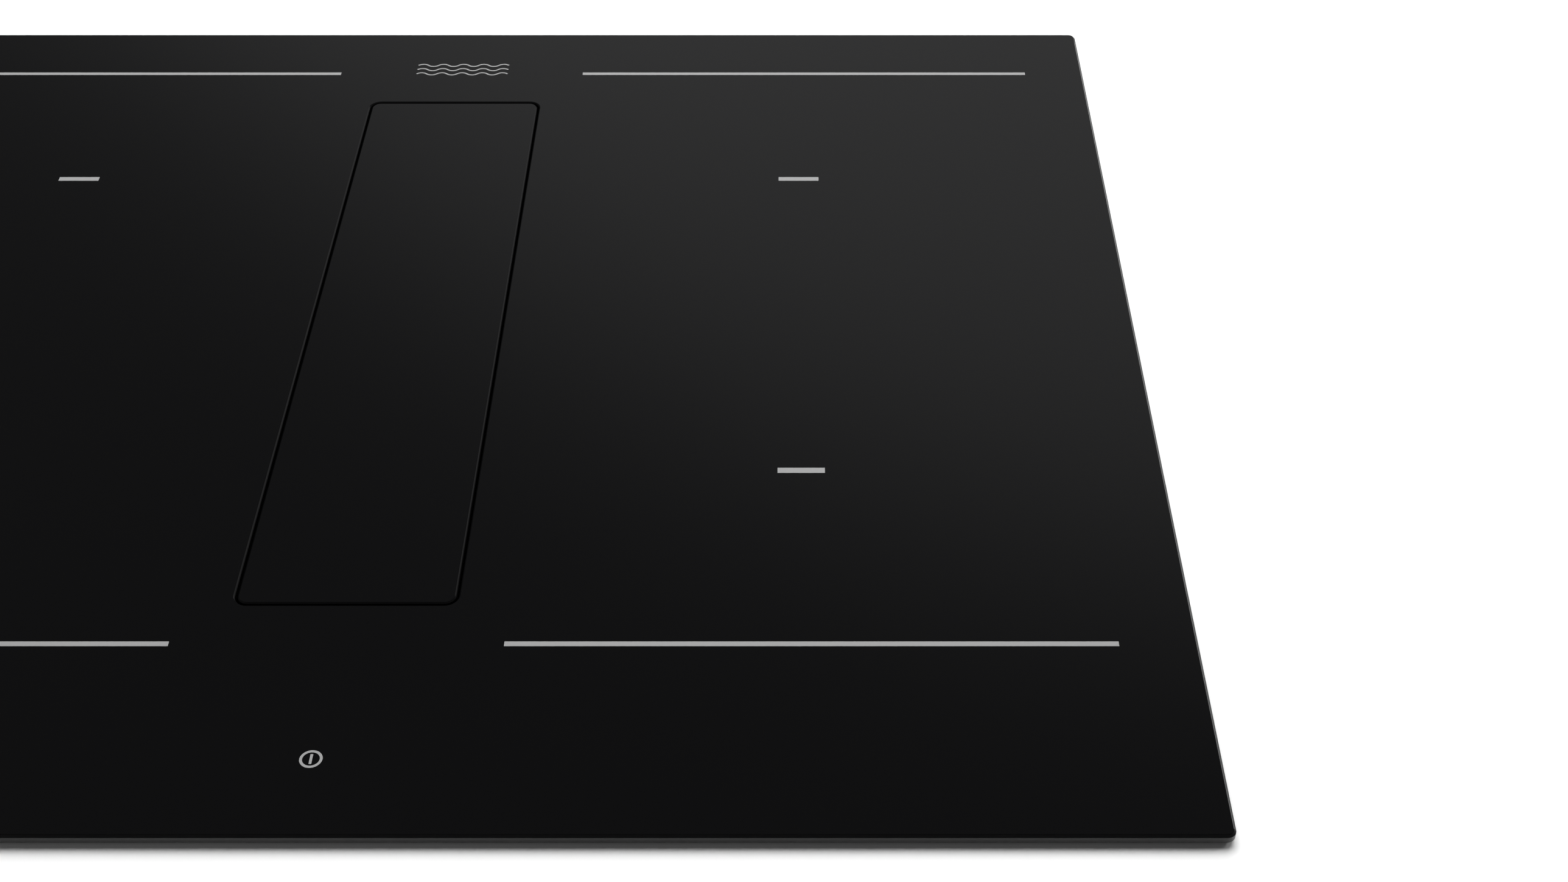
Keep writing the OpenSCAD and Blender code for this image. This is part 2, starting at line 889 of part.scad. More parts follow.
module fan_frame(side) {
    color("#26272a")
        translate([side * fan_x, fan_y, floor_z])
            difference() {
                union() {
                    difference() {
                        linear_extrude(fan_h)
                            rounded_rect(fan_size, fan_size, 5);
                        translate([0, 0, -1])
                            cylinder(r = fan_hole_r, h = fan_h + 2);
                    }
                    cylinder(r = fan_hub_r, h = 3);
                    for (turn = [45:90:315])
                        rotate([0, 0, turn])
                            translate([fan_hub_r - 2, -2, 0])
                                cube([fan_hole_r - fan_hub_r + 4, 4, 3]);
                }
                translate([0, 0, -1])
                    cylinder(r = pin_r + running_gap, h = 6);
                for (x = [-1, 1], y = [-1, 1])
                    translate([x * (fan_size / 2 - 5), y * (fan_size / 2 - 5), -1])
                        cylinder(r = 2.1, h = fan_h + 2);
            }
}

module fan_rotor(side) {
    blades = 7;
    blade_pitch = 38;
    color("#35363a")
        translate([side * fan_x, fan_y, floor_z]) {
            translate([0, 0, 4])
                cylinder(r = fan_hub_r, h = fan_h - 6);
            translate([0, 0, 0.5])
                cylinder(r = pin_r, h = 5);
            for (i = [0:blades - 1])
                rotate([0, 0, i * 360 / blades])
                    translate([fan_hub_r - 2, 0, fan_h / 2 + 1])
                        rotate([blade_pitch, 0, 0])
                            translate([0, -9, -0.7])
                                cube([fan_hole_r - fan_hub_r - 0.5, 18, 1.4]);
        }
}

module fan_frame_left() {
    fan_frame(-1);
}

module fan_frame_right() {
    fan_frame(1);
}

module fan_rotor_left() {
    fan_rotor(-1);
}

module fan_rotor_right() {
    fan_rotor(1);
}

module control_cradle() {
    lip = 1.5;
    color("#3c3d40") {
        difference() {
            span_box([-control_w / 2, control_y, control_z],
                [control_w / 2, control_y + control_d, control_board_z]);
            span_box([-control_w / 2 + lip, control_y + lip, control_z + lip],
                [control_w / 2 - lip, control_y + control_d - lip, glass_z]);
        }
        for (x = [-1, 1], y = [8, control_d - 8])
            translate([x * (control_w / 2 - 8), control_y + y, floor_z])
                cylinder(r = 4, h = control_z - floor_z + lip / 2);
    }
}

module control_board() {
    color("#2f6b45")
        span_box([-control_w / 2, control_y, control_board_z],
            [control_w / 2, control_y + control_d, control_board_z + board_t]);
}

module touch_springs() {
    pitch = 30;
    base_z = control_board_z + board_t;
    color("#d0d2d4")
        for (i = [-4:4])
            translate([i * pitch, touch_y, base_z])
                tube(4, 3.2, glass_z - base_z);
}

module display_blocks() {
    base_z = control_board_z + board_t;
    color("#d9d9d2")
        for (side = [-1, 1])
            translate([side * 70, touch_y + 20, (base_z + glass_z - 0.2) / 2])
                cube([70, 14, glass_z - 0.2 - base_z], center = true);
}

// The mains filter: its board on four posts, with two chokes and a film capacitor
module filter_board() {
    x0 = inner_w / 2 - filter_side_gap - filter_w;
    color("#2f6b45")
        translate([x0, filter_y - filter_d / 2, 0]) {
            translate([0, 0, board_z])
                cube([filter_w, filter_d, board_t]);
            for (x = [6, filter_w - 6], y = [6, filter_d - 6])
                translate([x, y, floor_z])
                    cylinder(r = 3, h = board_lift);
            for (x = [24, 60])
                translate([x, filter_d / 2, board_top_z])
                    tube(14, 6, 14);
            translate([86, 16, board_top_z])
                cube([20, filter_d - 32, 16]);
        }
}

module terminal_block() {
    poles = 5;
    pitch = 11;
    color("#e6e2d6")
        translate([terminal_x, terminal_y, floor_z])
            difference() {
                translate([-poles * pitch / 2, -9, 0])
                    cube([poles * pitch, 18, 14]);
                for (i = [0:poles - 1])
                    translate([(i - (poles - 1) / 2) * pitch, 0, 5])
                        cylinder(r = 3.2, h = 20);
            }
}

module terminal_cover() {
    shell = 1.5;
    color("#3c3d40")
        translate([terminal_x, terminal_y, floor_z])
            difference() {
                translate([-31, -12, 0])
                    cube([62, 24, 20]);
                translate([-31 + shell, -12 + shell, -1])
                    cube([62 - 2 * shell, 24 - 2 * shell, 21 - shell]);
                translate([20, -20, -1])
                    cube([20, 40, 10]);
            }
}

// Strain relief for the mains lead, through the housing's floor
module cable_gland() {
    color("#26272a")
        translate([gland_x, gland_y, 0])
            difference() {
                union() {
                    translate([0, 0, housing_z - 9])
                        cylinder(r = 12, h = 9, $fn = 6);
                    translate([0, 0, housing_z - 18])
                        cylinder(r = 9, h = 9);
                    translate([0, 0, housing_z - 0.1])
                        cylinder(r = gland_r + 2.7, h = sheet_t + 6.1);
                    translate([0, 0, floor_z])
                        cylinder(r = 11, h = 4, $fn = 6);
                }
                translate([0, 0, housing_z - 20])
                    cylinder(r = gland_r, h = 40);
            }
}

// Outline of the scroll, drawn a given amount inside its outer face
module scroll_outline(inset, outlet_end) {
    spiral = [for (turn = [tongue_angle:10:360])
        [blower_x - (scroll_radius(turn) - inset) * cos(turn),
            blower_y + (scroll_radius(turn) - inset) * sin(turn)]];
    outlet = [[outlet_x0 + inset, outlet_end], [outlet_x1 - inset, outlet_end]];
    tongue = inset > 0 ? [[outlet_x1 - inset, spiral[0].y]] : [];
    polygon(concat(spiral, outlet, tongue));
}

module scroll() {
    color("#2b2c2e")
        difference() {
            translate([0, 0, scroll_z])
                linear_extrude(scroll_h - wall)
                    scroll_outline(0, outlet_y);
            translate([0, 0, scroll_z + wall])
                linear_extrude(scroll_h)
                    scroll_outline(wall, outlet_y + 1);
            translate([blower_x, blower_y, scroll_z - 1])
                cylinder(r = motor_r - 6, h = wall + 2);
        }
}

module scroll_cover() {
    lip_h = 7;
    color("#2b2c2e") {
        translate([0, 0, scroll_top_z - wall])
            linear_extrude(wall)
                difference() {
                    scroll_outline(0, outlet_y);
                    translate([blower_x, blower_y])
                        circle(inlet_r);
                }
        translate([blower_x, blower_y, scroll_top_z - wall])
            tube(inlet_r + wall, inlet_r, wall + lip_h);
    }
}

// Forward-curved blades between a back disc and a front ring, on a cup that covers the motor
module impeller() {
    blades = 30;
    blade_l = 15;
    disc_t = 1.5;
    color("#3c3d40")
        translate([blower_x, blower_y, impeller_z]) {
            rotate_extrude()
                polygon([[cup_r, 0], [impeller_r, 0], [impeller_r, disc_t], [cup_r + disc_t, disc_t],
                    [cup_r + disc_t, impeller_h - 6], [shaft_r, impeller_h - 6],
                    [shaft_r, impeller_h - 20], [shaft_r + 5, impeller_h - 20],
                    [shaft_r + 5, impeller_h - 6 - disc_t], [cup_r, impeller_h - 6 - disc_t]]);
            translate([0, 0, impeller_h - disc_t])
                tube(impeller_r, impeller_r - blade_l, disc_t);
            for (i = [0:blades - 1])
                rotate([0, 0, i * 360 / blades])
                    translate([impeller_r - blade_l - 0.5, 0, disc_t - 0.1])
                        rotate([0, 0, 25])
                            cube([blade_l - 0.5, 1, impeller_h - 2 * disc_t + 0.2]);
        }
}

// Stationary can whose two ends are the shaft's bearings
module motor_housing() {
    shell = 2;
    top = impeller_h - 24;
    color("#8d9194")
        translate([blower_x, blower_y, scroll_z + wall])
            rotate_extrude()
                polygon([[shaft_r + running_gap, 0], [motor_r, 0], [motor_r, top],
                    [shaft_r + running_gap, top], [shaft_r + running_gap, top - 6],
                    [motor_r - shell, top - shell - 4], [motor_r - shell, shell + 4],
                    [shaft_r + running_gap, shell + 4]]);
}

module motor_rotor() {
    top = impeller_h - 24;
    color("#6c6f73")
        translate([blower_x, blower_y, scroll_z + wall + 9])
            tube(motor_r - 8, shaft_r, top - 18);
}

module motor_shaft() {
    color("#d0d2d4")
        translate([blower_x, blower_y, scroll_z + wall + 1])
            cylinder(r = shaft_r, h = shaft_top_z - scroll_z - wall);
}

module blower_feet() {
    foot_h = scroll_z - casing_z - sheet_t;
    color("#202123")
        for (turn = [45:90:315])
            translate([blower_x + 55 * cos(turn), blower_y + 55 * sin(turn), casing_z + sheet_t])
                cylinder(r = 9, h = foot_h);
}

// Widens from the scroll's outlet to the flat duct's spigot
module duct_outlet() {
    half = collar_w / 2;
    flange = 6;
    flange_y = casing_back_y - sheet_t - wall;
    color("#2b2c2e")
        difference() {
            union() {
                translate([0, 0, collar_z])
                    linear_extrude(collar_h)
                        polygon([[outlet_x0, outlet_y], [outlet_x1, outlet_y], [half, flange_y],
                            [half, casing_back_y + collar_l], [-half, casing_back_y + collar_l],
                            [-half, flange_y]]);
                span_box([-half - flange, flange_y, collar_z - flange + 1],
                    [half + flange, flange_y + wall, collar_z + collar_h + flange - 1]);
            }
            translate([0, 0, collar_z + wall])
                linear_extrude(collar_h - 2 * wall)
                    polygon([[outlet_x0 + wall, outlet_y + wall], [outlet_x1 - wall, outlet_y + wall],
                        [half - wall, flange_y + 1], [half - wall, casing_back_y + collar_l + 1],
                        [wall - half, casing_back_y + collar_l + 1], [wall - half, flange_y + 1]]);
            span_box([outlet_x0 + wall, outlet_y - 1, collar_z + wall],
                [outlet_x1 - wall, outlet_y + wall + 1, scroll_top_z - wall]);
        }
}

// Places one screw or hole at each spot on the casing's flange, +Z pointing down
module round_the_casing() {
    inset = casing_flange / 2;
    for (x = [casing_x0 - inset, casing_x1 + inset], t = [0.08, 0.5, 0.92])
        translate([x, casing_y0 + t * (casing_back_y - casing_y0), housing_z - sheet_t])
            rotate([180, 0, 0])
                children();
    for (t = [0.2, 0.8])
        translate([casing_x0 + t * (casing_x1 - casing_x0), casing_y0 - inset, housing_z - sheet_t])
            rotate([180, 0, 0])
                children();
}

module hatch_corners() {
    for (y = [-1, 1], z = [-1, 1])
        translate([casing_x1 + sheet_t, hatch_y + y * (hatch_w / 2 + 5), hatch_z + z * (hatch_h / 2 + 5)])
            rotate([0, 90, 0])
                children();
}

module lower_casing() {
    color("#9ea2a5")
        difference() {
            union() {
                span_box([casing_x0, casing_y0, casing_z], [casing_x1, casing_back_y, housing_z]);
                span_box([casing_x0 - casing_flange, casing_y0 - casing_flange, housing_z - sheet_t],
                    [casing_x1 + casing_flange, casing_back_y + casing_flange, housing_z]);
            }
            span_box([casing_x0 + sheet_t, casing_y0 + sheet_t, casing_z + sheet_t],
                [casing_x1 - sheet_t, casing_back_y - sheet_t, housing_z + 1]);
            span_box([-collar_w / 2 - 0.5, casing_back_y - 4, collar_z - 0.5],
                [collar_w / 2 + 0.5, casing_back_y + 4, collar_z + collar_h + 0.5]);
            for (x = [-1, 1], z = [-1, 1])
                translate([x * duct_screw_x, casing_back_y, collar_z + collar_h / 2 + z * duct_screw_dz])
                    rotate([90, 0, 0])
                        cylinder(r = duct_screw_r, h = 10, center = true);
            span_box([casing_x1 - 4, hatch_y - hatch_w / 2, hatch_z - hatch_h / 2],
                [casing_x1 + 4, hatch_y + hatch_w / 2, hatch_z + hatch_h / 2]);
            hatch_corners()
                cylinder(r = frame_screw_r, h = 8, center = true);
            round_the_casing()
                cylinder(r = frame_screw_r + 0.2, h = 4, center = true);
        }
}

module casing_screws() {
    color("#c8cacc") {
        round_the_casing()
            pan_screw(frame_screw_r, 2 * sheet_t);
        hatch_corners()
            pan_screw(frame_screw_r, 5);
    }
}

module service_cover() {
    margin = 11;
    color("#a8acaf")
        difference() {
            span_box([casing_x1, hatch_y - hatch_w / 2 - margin, hatch_z - hatch_h / 2 - margin],
                [casing_x1 + sheet_t, hatch_y + hatch_w / 2 + margin, hatch_z + hatch_h / 2 + margin]);
            hatch_corners()
                cylinder(r = frame_screw_r + 0.2, h = 4, center = true);
        }
}

glass_plate();
zone_lines();
zone_dashes();
touch_symbol();
air_symbol();
worktop_seal();
intake_seal();
flap_glass();
flap_carrier();
flap_pins();
cassette_frame();
filter_mesh_left();
filter_mesh_right();
grease_tub();
intake_well();
cassette_stirrups();
glass_frame();
housing_tray();
frame_screws();
side_clips();
coil_back_left();
coil_back_right();
coil_front_left();
coil_front_right();
coil_formers();
ferrite_bars();
mica_sheets();
temperature_sensors();
coil_tray_left();
coil_tray_right();
tray_springs();
power_board_left();
power_board_right();
board_carriers();
board_parts();
heat_sink_left();
heat_sink_right();
fan_frame_left();
fan_frame_right();
fan_rotor_left();
fan_rotor_right();
control_cradle();
control_board();
touch_springs();
display_blocks();
filter_board();
terminal_block();
terminal_cover();
cable_gland();
scroll();
scroll_cover();
impeller();
motor_housing();
motor_rotor();
motor_shaft();
blower_feet();
duct_outlet();
lower_casing();
casing_screws();
service_cover();
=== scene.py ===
"""Looks of a built-in induction cooktop with a downdraft extractor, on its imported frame."""
import json
import math

import bmesh
import bpy
from mathutils import Matrix, Vector

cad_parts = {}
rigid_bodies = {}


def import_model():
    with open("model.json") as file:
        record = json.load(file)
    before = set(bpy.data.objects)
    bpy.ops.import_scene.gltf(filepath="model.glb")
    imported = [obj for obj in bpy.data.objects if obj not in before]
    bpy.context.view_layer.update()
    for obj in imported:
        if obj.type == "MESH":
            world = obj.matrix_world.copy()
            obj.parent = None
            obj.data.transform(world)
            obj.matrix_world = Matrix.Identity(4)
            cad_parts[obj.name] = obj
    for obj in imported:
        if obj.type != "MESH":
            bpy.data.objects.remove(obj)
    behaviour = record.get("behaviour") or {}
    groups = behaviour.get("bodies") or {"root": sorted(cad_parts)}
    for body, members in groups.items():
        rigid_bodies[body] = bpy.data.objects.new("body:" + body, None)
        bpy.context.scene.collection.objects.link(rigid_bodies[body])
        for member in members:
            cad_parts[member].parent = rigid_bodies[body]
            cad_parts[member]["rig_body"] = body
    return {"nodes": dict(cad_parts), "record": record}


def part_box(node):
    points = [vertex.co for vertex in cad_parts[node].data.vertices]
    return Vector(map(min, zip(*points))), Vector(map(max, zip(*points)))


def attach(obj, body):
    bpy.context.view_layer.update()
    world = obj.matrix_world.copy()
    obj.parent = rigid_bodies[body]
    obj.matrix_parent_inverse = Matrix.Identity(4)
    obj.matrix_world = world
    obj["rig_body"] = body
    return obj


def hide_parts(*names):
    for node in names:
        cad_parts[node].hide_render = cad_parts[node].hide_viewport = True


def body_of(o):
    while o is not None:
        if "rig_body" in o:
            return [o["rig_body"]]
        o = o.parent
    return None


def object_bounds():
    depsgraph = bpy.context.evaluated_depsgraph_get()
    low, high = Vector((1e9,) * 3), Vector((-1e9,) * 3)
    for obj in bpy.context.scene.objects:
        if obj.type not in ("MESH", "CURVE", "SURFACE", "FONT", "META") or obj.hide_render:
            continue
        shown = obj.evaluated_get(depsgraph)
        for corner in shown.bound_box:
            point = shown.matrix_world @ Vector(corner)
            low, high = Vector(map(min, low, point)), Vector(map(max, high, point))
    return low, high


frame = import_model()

MM = 0.001
cad_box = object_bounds()
scene = bpy.context.scene


# Nodes: sums are written as Python expressions

class Wire:
    """One output of a node; arithmetic on it adds Math nodes."""

    def __init__(self, nodes, socket):
        self.nodes = nodes
        self.socket = socket

    def maths(self, operation, first, second=0.0):
        return self.nodes.node("ShaderNodeMath", {"operation": operation}, {0: first, 1: second})

    def __add__(self, other):
        return self.maths("ADD", self, other)

    __radd__ = __add__

    def __sub__(self, other):
        return self.maths("SUBTRACT", self, other)

    def __rsub__(self, other):
        return self.maths("SUBTRACT", other, self)

    def __mul__(self, other):
        return self.maths("MULTIPLY", self, other)

    __rmul__ = __mul__

    def __truediv__(self, other):
        return self.maths("DIVIDE", self, other)

    def __rtruediv__(self, other):
        return self.maths("DIVIDE", other, self)

    def __rpow__(self, other):
        return self.maths("POWER", other, self)

    def __mod__(self, other):
        return self.maths("FLOORED_MODULO", self, other)

    def __gt__(self, other):
        return self.maths("GREATER_THAN", self, other)

    def __lt__(self, other):
        return self.maths("LESS_THAN", self, other)

    def __abs__(self):
        return self.maths("ABSOLUTE", self)

    def sin(self):
        return self.maths("SINE", self)

    def cos(self):
        return self.maths("COSINE", self)

    def sign(self):
        return self.maths("SIGN", self)


class Nodes:
    """A node tree that is being filled."""

    def __init__(self, tree):
        self.tree = tree

    def make(self, kind, settings=None, sockets=None):
        """Adds a node: its settings first, then the values or wires of its sockets."""
        made = self.tree.nodes.new(kind)
        for name, value in (settings or {}).items():
            if name == "stops":
                self.set_stops(made.color_ramp, value)
            else:
                setattr(made, name, value)
        for name, value in (sockets or {}).items():
            if isinstance(value, Wire):
                self.tree.links.new(value.socket, made.inputs[name])
            else:
                made.inputs[name].default_value = value
        return made

    def node(self, kind, settings=None, sockets=None, output=0):
        """The same, giving one output as a wire."""
        return Wire(self, self.make(kind, settings, sockets).outputs[output])

    @staticmethod
    def set_stops(ramp, stops):
        while len(ramp.elements) < len(stops):
            ramp.elements.new(0.5)
        for element, (position, colour) in zip(ramp.elements, stops):
            element.position = position
            element.color = rgba(colour)


def rgba(colour):
    """Four numbers from a grey level or three numbers."""
    if isinstance(colour, (int, float)):
        return (colour, colour, colour, 1.0)
    return (*colour, 1.0)


class Finish(Nodes):
    """A procedural finish and its one shader."""

    def __init__(self, name, **constants):
        self.material = bpy.data.materials.new(name)
        self.material.use_nodes = True
        super().__init__(self.material.node_tree)
        self.shader = self.tree.nodes["Principled BSDF"]
        for socket, value in constants.items():
            self.shader.inputs[socket.replace("_", " ")].default_value = value

    def feed(self, socket, value):
        if isinstance(value, Wire):
            self.tree.links.new(value.socket, self.shader.inputs[socket])
        else:
            self.shader.inputs[socket].default_value = value

    def place(self, scale=(1, 1, 1), turn=(0, 0, 0)):
        """Object coordinates, stretched or turned."""
        coordinates = self.node("ShaderNodeTexCoord", output="Object")
        sockets = {"Vector": coordinates, "Scale": scale, "Rotation": turn}
        return self.node("ShaderNodeMapping", None, sockets)

    def noise(self, scale, detail=2.0, rough=0.5, at=None, warp=0.0):
        sockets = {"Scale": scale, "Detail": detail, "Roughness": rough, "Distortion": warp,
                   "Vector": at or self.place()}
        return self.node("ShaderNodeTexNoise", None, sockets, "Fac")

    def cells(self, scale, feature="F1", at=None, output="Distance"):
        sockets = {"Scale": scale, "Vector": at or self.place()}
        return self.node("ShaderNodeTexVoronoi", {"feature": feature}, sockets, output)

    def ramp(self, value, *stops):
        return self.node("ShaderNodeValToRGB", {"stops": stops}, {"Fac": value})

    def blend(self, amount, first, second):
        """Colour between two colours."""
        made = self.make("ShaderNodeMix", {"data_type": "RGBA"})
        for index, value in ((0, amount), (6, first), (7, second)):
            if isinstance(value, Wire):
                self.tree.links.new(value.socket, made.inputs[index])
            else:
                made.inputs[index].default_value = value if index == 0 else rgba(value)
        return Wire(self, made.outputs[2])

    def between(self, value, low, high):
        """A number that runs from low to high as value runs from 0 to 1."""
        return value * (high - low) + low

    def relief(self, height, depth, strength=1.0):
        """Bump, with its depth in metres."""
        sockets = {"Height": height, "Distance": depth, "Strength": strength}
        self.feed("Normal", self.node("ShaderNodeBump", None, sockets))


# Stage, light and camera

def worktop_slab():
    """A thin white board with the cut-out that the glass rests round."""
    outer = (0.325, 0.28)
    inner = (0.28, 0.245)
    thick = 0.012
    mesh = bmesh.new()
    rings = []
    for half, z in ((outer, -thick), (outer, 0.0), (inner, 0.0), (inner, -thick)):
        corners = [(-half[0], -half[1]), (half[0], -half[1]), (half[0], half[1]), (-half[0], half[1])]
        rings.append([mesh.verts.new((x, y, z)) for x, y in corners])
    for lower, upper in zip(rings, rings[1:] + rings[:1]):
        for i in range(4):
            mesh.faces.new((lower[i], lower[(i + 1) % 4], upper[(i + 1) % 4], upper[i]))
    bmesh.ops.recalc_face_normals(mesh, faces=mesh.faces)
    slab = finished("stage_worktop", mesh, board_white())


def studio_floor():
    """A round floor under the cooktop that glows by itself, a painted light that is dim in the middle and
    full white at its rim, so that it melts into the white round it.
    """
    radius = 1.35
    mesh = bmesh.new()
    bmesh.ops.create_circle(mesh, cap_ends=True, segments=96, radius=radius)
    bmesh.ops.translate(mesh, verts=mesh.verts, vec=(0, 0, cad_box[0][2] - 0.0002))
    floor = finished("stage_floor", mesh, floor_white())


def board_white():
    paint = Finish("board_white", Roughness=0.6, Specular_IOR_Level=0.2)
    paint.feed("Base Color", paint.blend(paint.noise(30), 0.82, 0.84))
    return paint.material


def floor_white():
    paint = Finish("floor_white", Roughness=0.7, Specular_IOR_Level=0.1, Emission_Strength=1.0)
    paint.feed("Base Color", paint.blend(paint.noise(2), 0.8, 0.82))
    coordinates = paint.node("ShaderNodeTexCoord", output="Object")
    level = paint.node("ShaderNodeVectorMath", {"operation": "MULTIPLY"}, {0: coordinates, 1: (1, 1, 0)})
    reach = paint.node("ShaderNodeVectorMath", {"operation": "LENGTH"}, {0: level}, "Value")
    # Painted light: the floor's own glow, 0.25 under the cooktop and rising to full white towards the rim.
    paint.feed("Emission Color", paint.ramp(reach, (0.0, 0.25), (0.55, 0.3), (0.95, 1.0)))
    return paint.material


def studio_world():
    """White to look at; it lights with one broad soft glow behind to the right and a low band in front."""
    world = bpy.data.worlds.new("studio")
    scene.world = world
    world.use_nodes = True
    sky = Nodes(world.node_tree)
    direction = sky.node("ShaderNodeTexCoord", output="Generated")
    glow_from = Vector((0.248, 0.966, 0.077)).normalized()
    sockets = {0: direction, 1: glow_from}
    reach = sky.node("ShaderNodeVectorMath", {"operation": "DOT_PRODUCT"}, sockets, "Value")
    glow = 1 / (1 + 2.718 ** ((0.7985 - reach) / 0.0273))
    split = sky.make("ShaderNodeSeparateXYZ", None, {0: direction})
    depth, height = (Wire(sky, split.outputs[axis]) for axis in "YZ")
    band = 1 / (1 + 2.718 ** ((height - 0.27) / 0.035))
    ahead = 1 / (1 + 2.718 ** ((depth + 0.15) / 0.05))
    level = glow * 0.286 + 0.044 + band * ahead * 0.25
    seen = sky.node("ShaderNodeLightPath", output="Is Camera Ray")
    sky.tree.links.new((level * (1 - seen) + seen).socket, sky.tree.nodes["Background"].inputs["Strength"])
    sky.tree.nodes["Background"].inputs["Color"].default_value = rgba(1.0)


def soft_light(name, at, size, watts, towards=(0, 0, 0), glossy=True):
    lamp = bpy.data.lights.new(name, "AREA")
    lamp.shape = "DISK"
    lamp.size = size
    lamp.energy = watts
    lamp_object = bpy.data.objects.new(name, lamp)
    scene.collection.objects.link(lamp_object)
    lamp_object.location = at
    lamp_object.rotation_euler = (Vector(at) - Vector(towards)).to_track_quat("Z", "Y").to_euler()
    lamp_object.visible_glossy = glossy


def camera():
    lens = bpy.data.cameras.new("camera")
    lens.lens = 50.0
    lens.sensor_width = 36.0
    lens.clip_start = 0.01
    viewer = bpy.data.objects.new("camera", lens)
    scene.collection.objects.link(viewer)
    viewer.location = (0.1557, -0.70425, 0.5459)
    viewer.rotation_euler = (math.radians(50), 0, 0)
    scene.camera = viewer
    scene.view_settings.view_transform = "Standard"


# Making meshes

def finished(name, mesh, material, smooth=None):
    """Turns a bmesh into an object at the origin with one finish."""
    data = bpy.data.meshes.new(name)
    mesh.to_mesh(data)
    mesh.free()
    data.materials.append(material)
    if smooth is not None:
        soften(data, smooth)
    made = bpy.data.objects.new(name, data)
    scene.collection.objects.link(made)
    return made


def soften(data, degrees):
    """Smooth shading that keeps edges sharper than an angle."""
    data.shade_smooth()
    data.set_sharp_from_angle(angle=math.radians(degrees))


def placed(mesh, matrix):
    bmesh.ops.transform(mesh, matrix=matrix, verts=mesh.verts)
    return mesh


def lathe(mesh, profile, steps=32):
    """Turns a closed profile of (radius, height) round Z; points on the axis are shared."""
    rings = []
    for radius, z in profile:
        if radius == 0:
            rings.append([mesh.verts.new((0, 0, z))])
            continue
        angles = [2 * math.pi * i / steps for i in range(steps)]
        rings.append([mesh.verts.new((radius * math.cos(a), radius * math.sin(a), z)) for a in angles])
    hollow = all(len(ring) > 1 for ring in rings)
    pairs = list(zip(rings, rings[1:] + rings[:1])) if hollow else list(zip(rings, rings[1:]))
    for first, second in pairs:
        for i in range(steps):
            j = (i + 1) % steps
            lower = [first[i % len(first)], first[j % len(first)]]
            upper = [second[j % len(second)], second[i % len(second)]]
            corners = list(dict.fromkeys(lower + upper))
            if len(corners) > 2:
                mesh.faces.new(corners)
    bmesh.ops.recalc_face_normals(mesh, faces=mesh.faces)
    return mesh


def rounded_block(mesh, low, high, bevel, segments=2):
    """A block between two corners with rounded edges."""
    size = Vector(high) - Vector(low)
    middle = (Vector(high) + Vector(low)) / 2
    made = bmesh.ops.create_cube(mesh, size=1.0)["verts"]
    bmesh.ops.scale(mesh, verts=made, vec=size)
    bmesh.ops.translate(mesh, verts=made, vec=middle)
    edges = list({edge for vert in made for edge in vert.link_edges})
    bmesh.ops.bevel(mesh, geom=edges, offset=bevel, segments=segments, affect="EDGES", profile=0.5)
    return mesh


def islands(node):
    """The separate bodies of a CAD node: the lowest and highest corner of each."""
    mesh = bmesh.new()
    mesh.from_mesh(frame["nodes"][node].data)
    bmesh.ops.remove_doubles(mesh, verts=mesh.verts, dist=0.00001)
    unseen = set(mesh.verts)
    boxes = []
    while unseen:
        front = [unseen.pop()]
        group = []
        while front:
            vert = front.pop()
            group.append(vert.co.copy())
            for edge in vert.link_edges:
                other = edge.other_vert(vert)
                if other in unseen:
                    unseen.discard(other)
                    front.append(other)
        low = Vector(min(point[k] for point in group) for k in range(3))
        high = Vector(max(point[k] for point in group) for k in range(3))
        boxes.append((low, high))
    mesh.free()
    return sorted(boxes, key=lambda box: tuple(round(value, 5) for value in box[0]))


class Pattern(Nodes):
    """Geometry nodes with named inputs, run into a plain mesh."""

    KINDS = {float: "NodeSocketFloat", bpy.types.Object: "NodeSocketObject"}

    def __init__(self, name, **inputs):
        super().__init__(bpy.data.node_groups.new(name, "GeometryNodeTree"))
        self.sockets = {}
        self.values = {}
        face = self.tree.interface
        face.new_socket("Places", in_out="INPUT", socket_type="NodeSocketGeometry")
        for key, value in inputs.items():
            socket = face.new_socket(key, in_out="INPUT", socket_type=self.KINDS[type(value)])
            self.sockets[key] = socket.identifier
            self.values[key] = value
        face.new_socket("Made", in_out="OUTPUT", socket_type="NodeSocketGeometry")
        self.start = self.tree.nodes.new("NodeGroupInput")
        self.end = self.tree.nodes.new("NodeGroupOutput")

    def given(self, name):
        return Wire(self, self.start.outputs[name])

    def vector(self, x, y, z):
        return self.node("ShaderNodeCombineXYZ", None, {0: x, 1: y, 2: z})

    def close(self, geometry, material):
        """Ends the tree in real geometry with its finish."""
        real = self.node("GeometryNodeRealizeInstances", None, {"Geometry": geometry})
        painted = self.node("GeometryNodeSetMaterial", None, {"Geometry": real, "Material": material})
        self.tree.links.new(painted.socket, self.end.inputs[0])
        return self

    def run(self, name, places=((0, 0, 0),), turns=None, smooth=None, **changed):
        """Evaluates the tree on points, each with its turn, and keeps the mesh."""
        data = bpy.data.meshes.new(name + "_places")
        data.from_pydata([tuple(place) for place in places], [], [])
        spin = data.attributes.new("turn", "FLOAT_VECTOR", "POINT")
        for i, turn in enumerate(turns or [(0, 0, 0)] * len(places)):
            spin.data[i].vector = turn
        host = bpy.data.objects.new(name + "_host", data)
        scene.collection.objects.link(host)
        modifier = host.modifiers.new("pattern", "NODES")
        modifier.node_group = self.tree
        for key, value in {**self.values, **changed}.items():
            modifier[self.sockets[key]] = value
        host.update_tag()
        ready = host.evaluated_get(bpy.context.evaluated_depsgraph_get())
        mesh = bpy.data.meshes.new_from_object(ready)
        mesh.name = name
        bpy.data.objects.remove(host)
        if smooth is not None:
            soften(mesh, smooth)
        made = bpy.data.objects.new(name, mesh)
        scene.collection.objects.link(made)
        return made


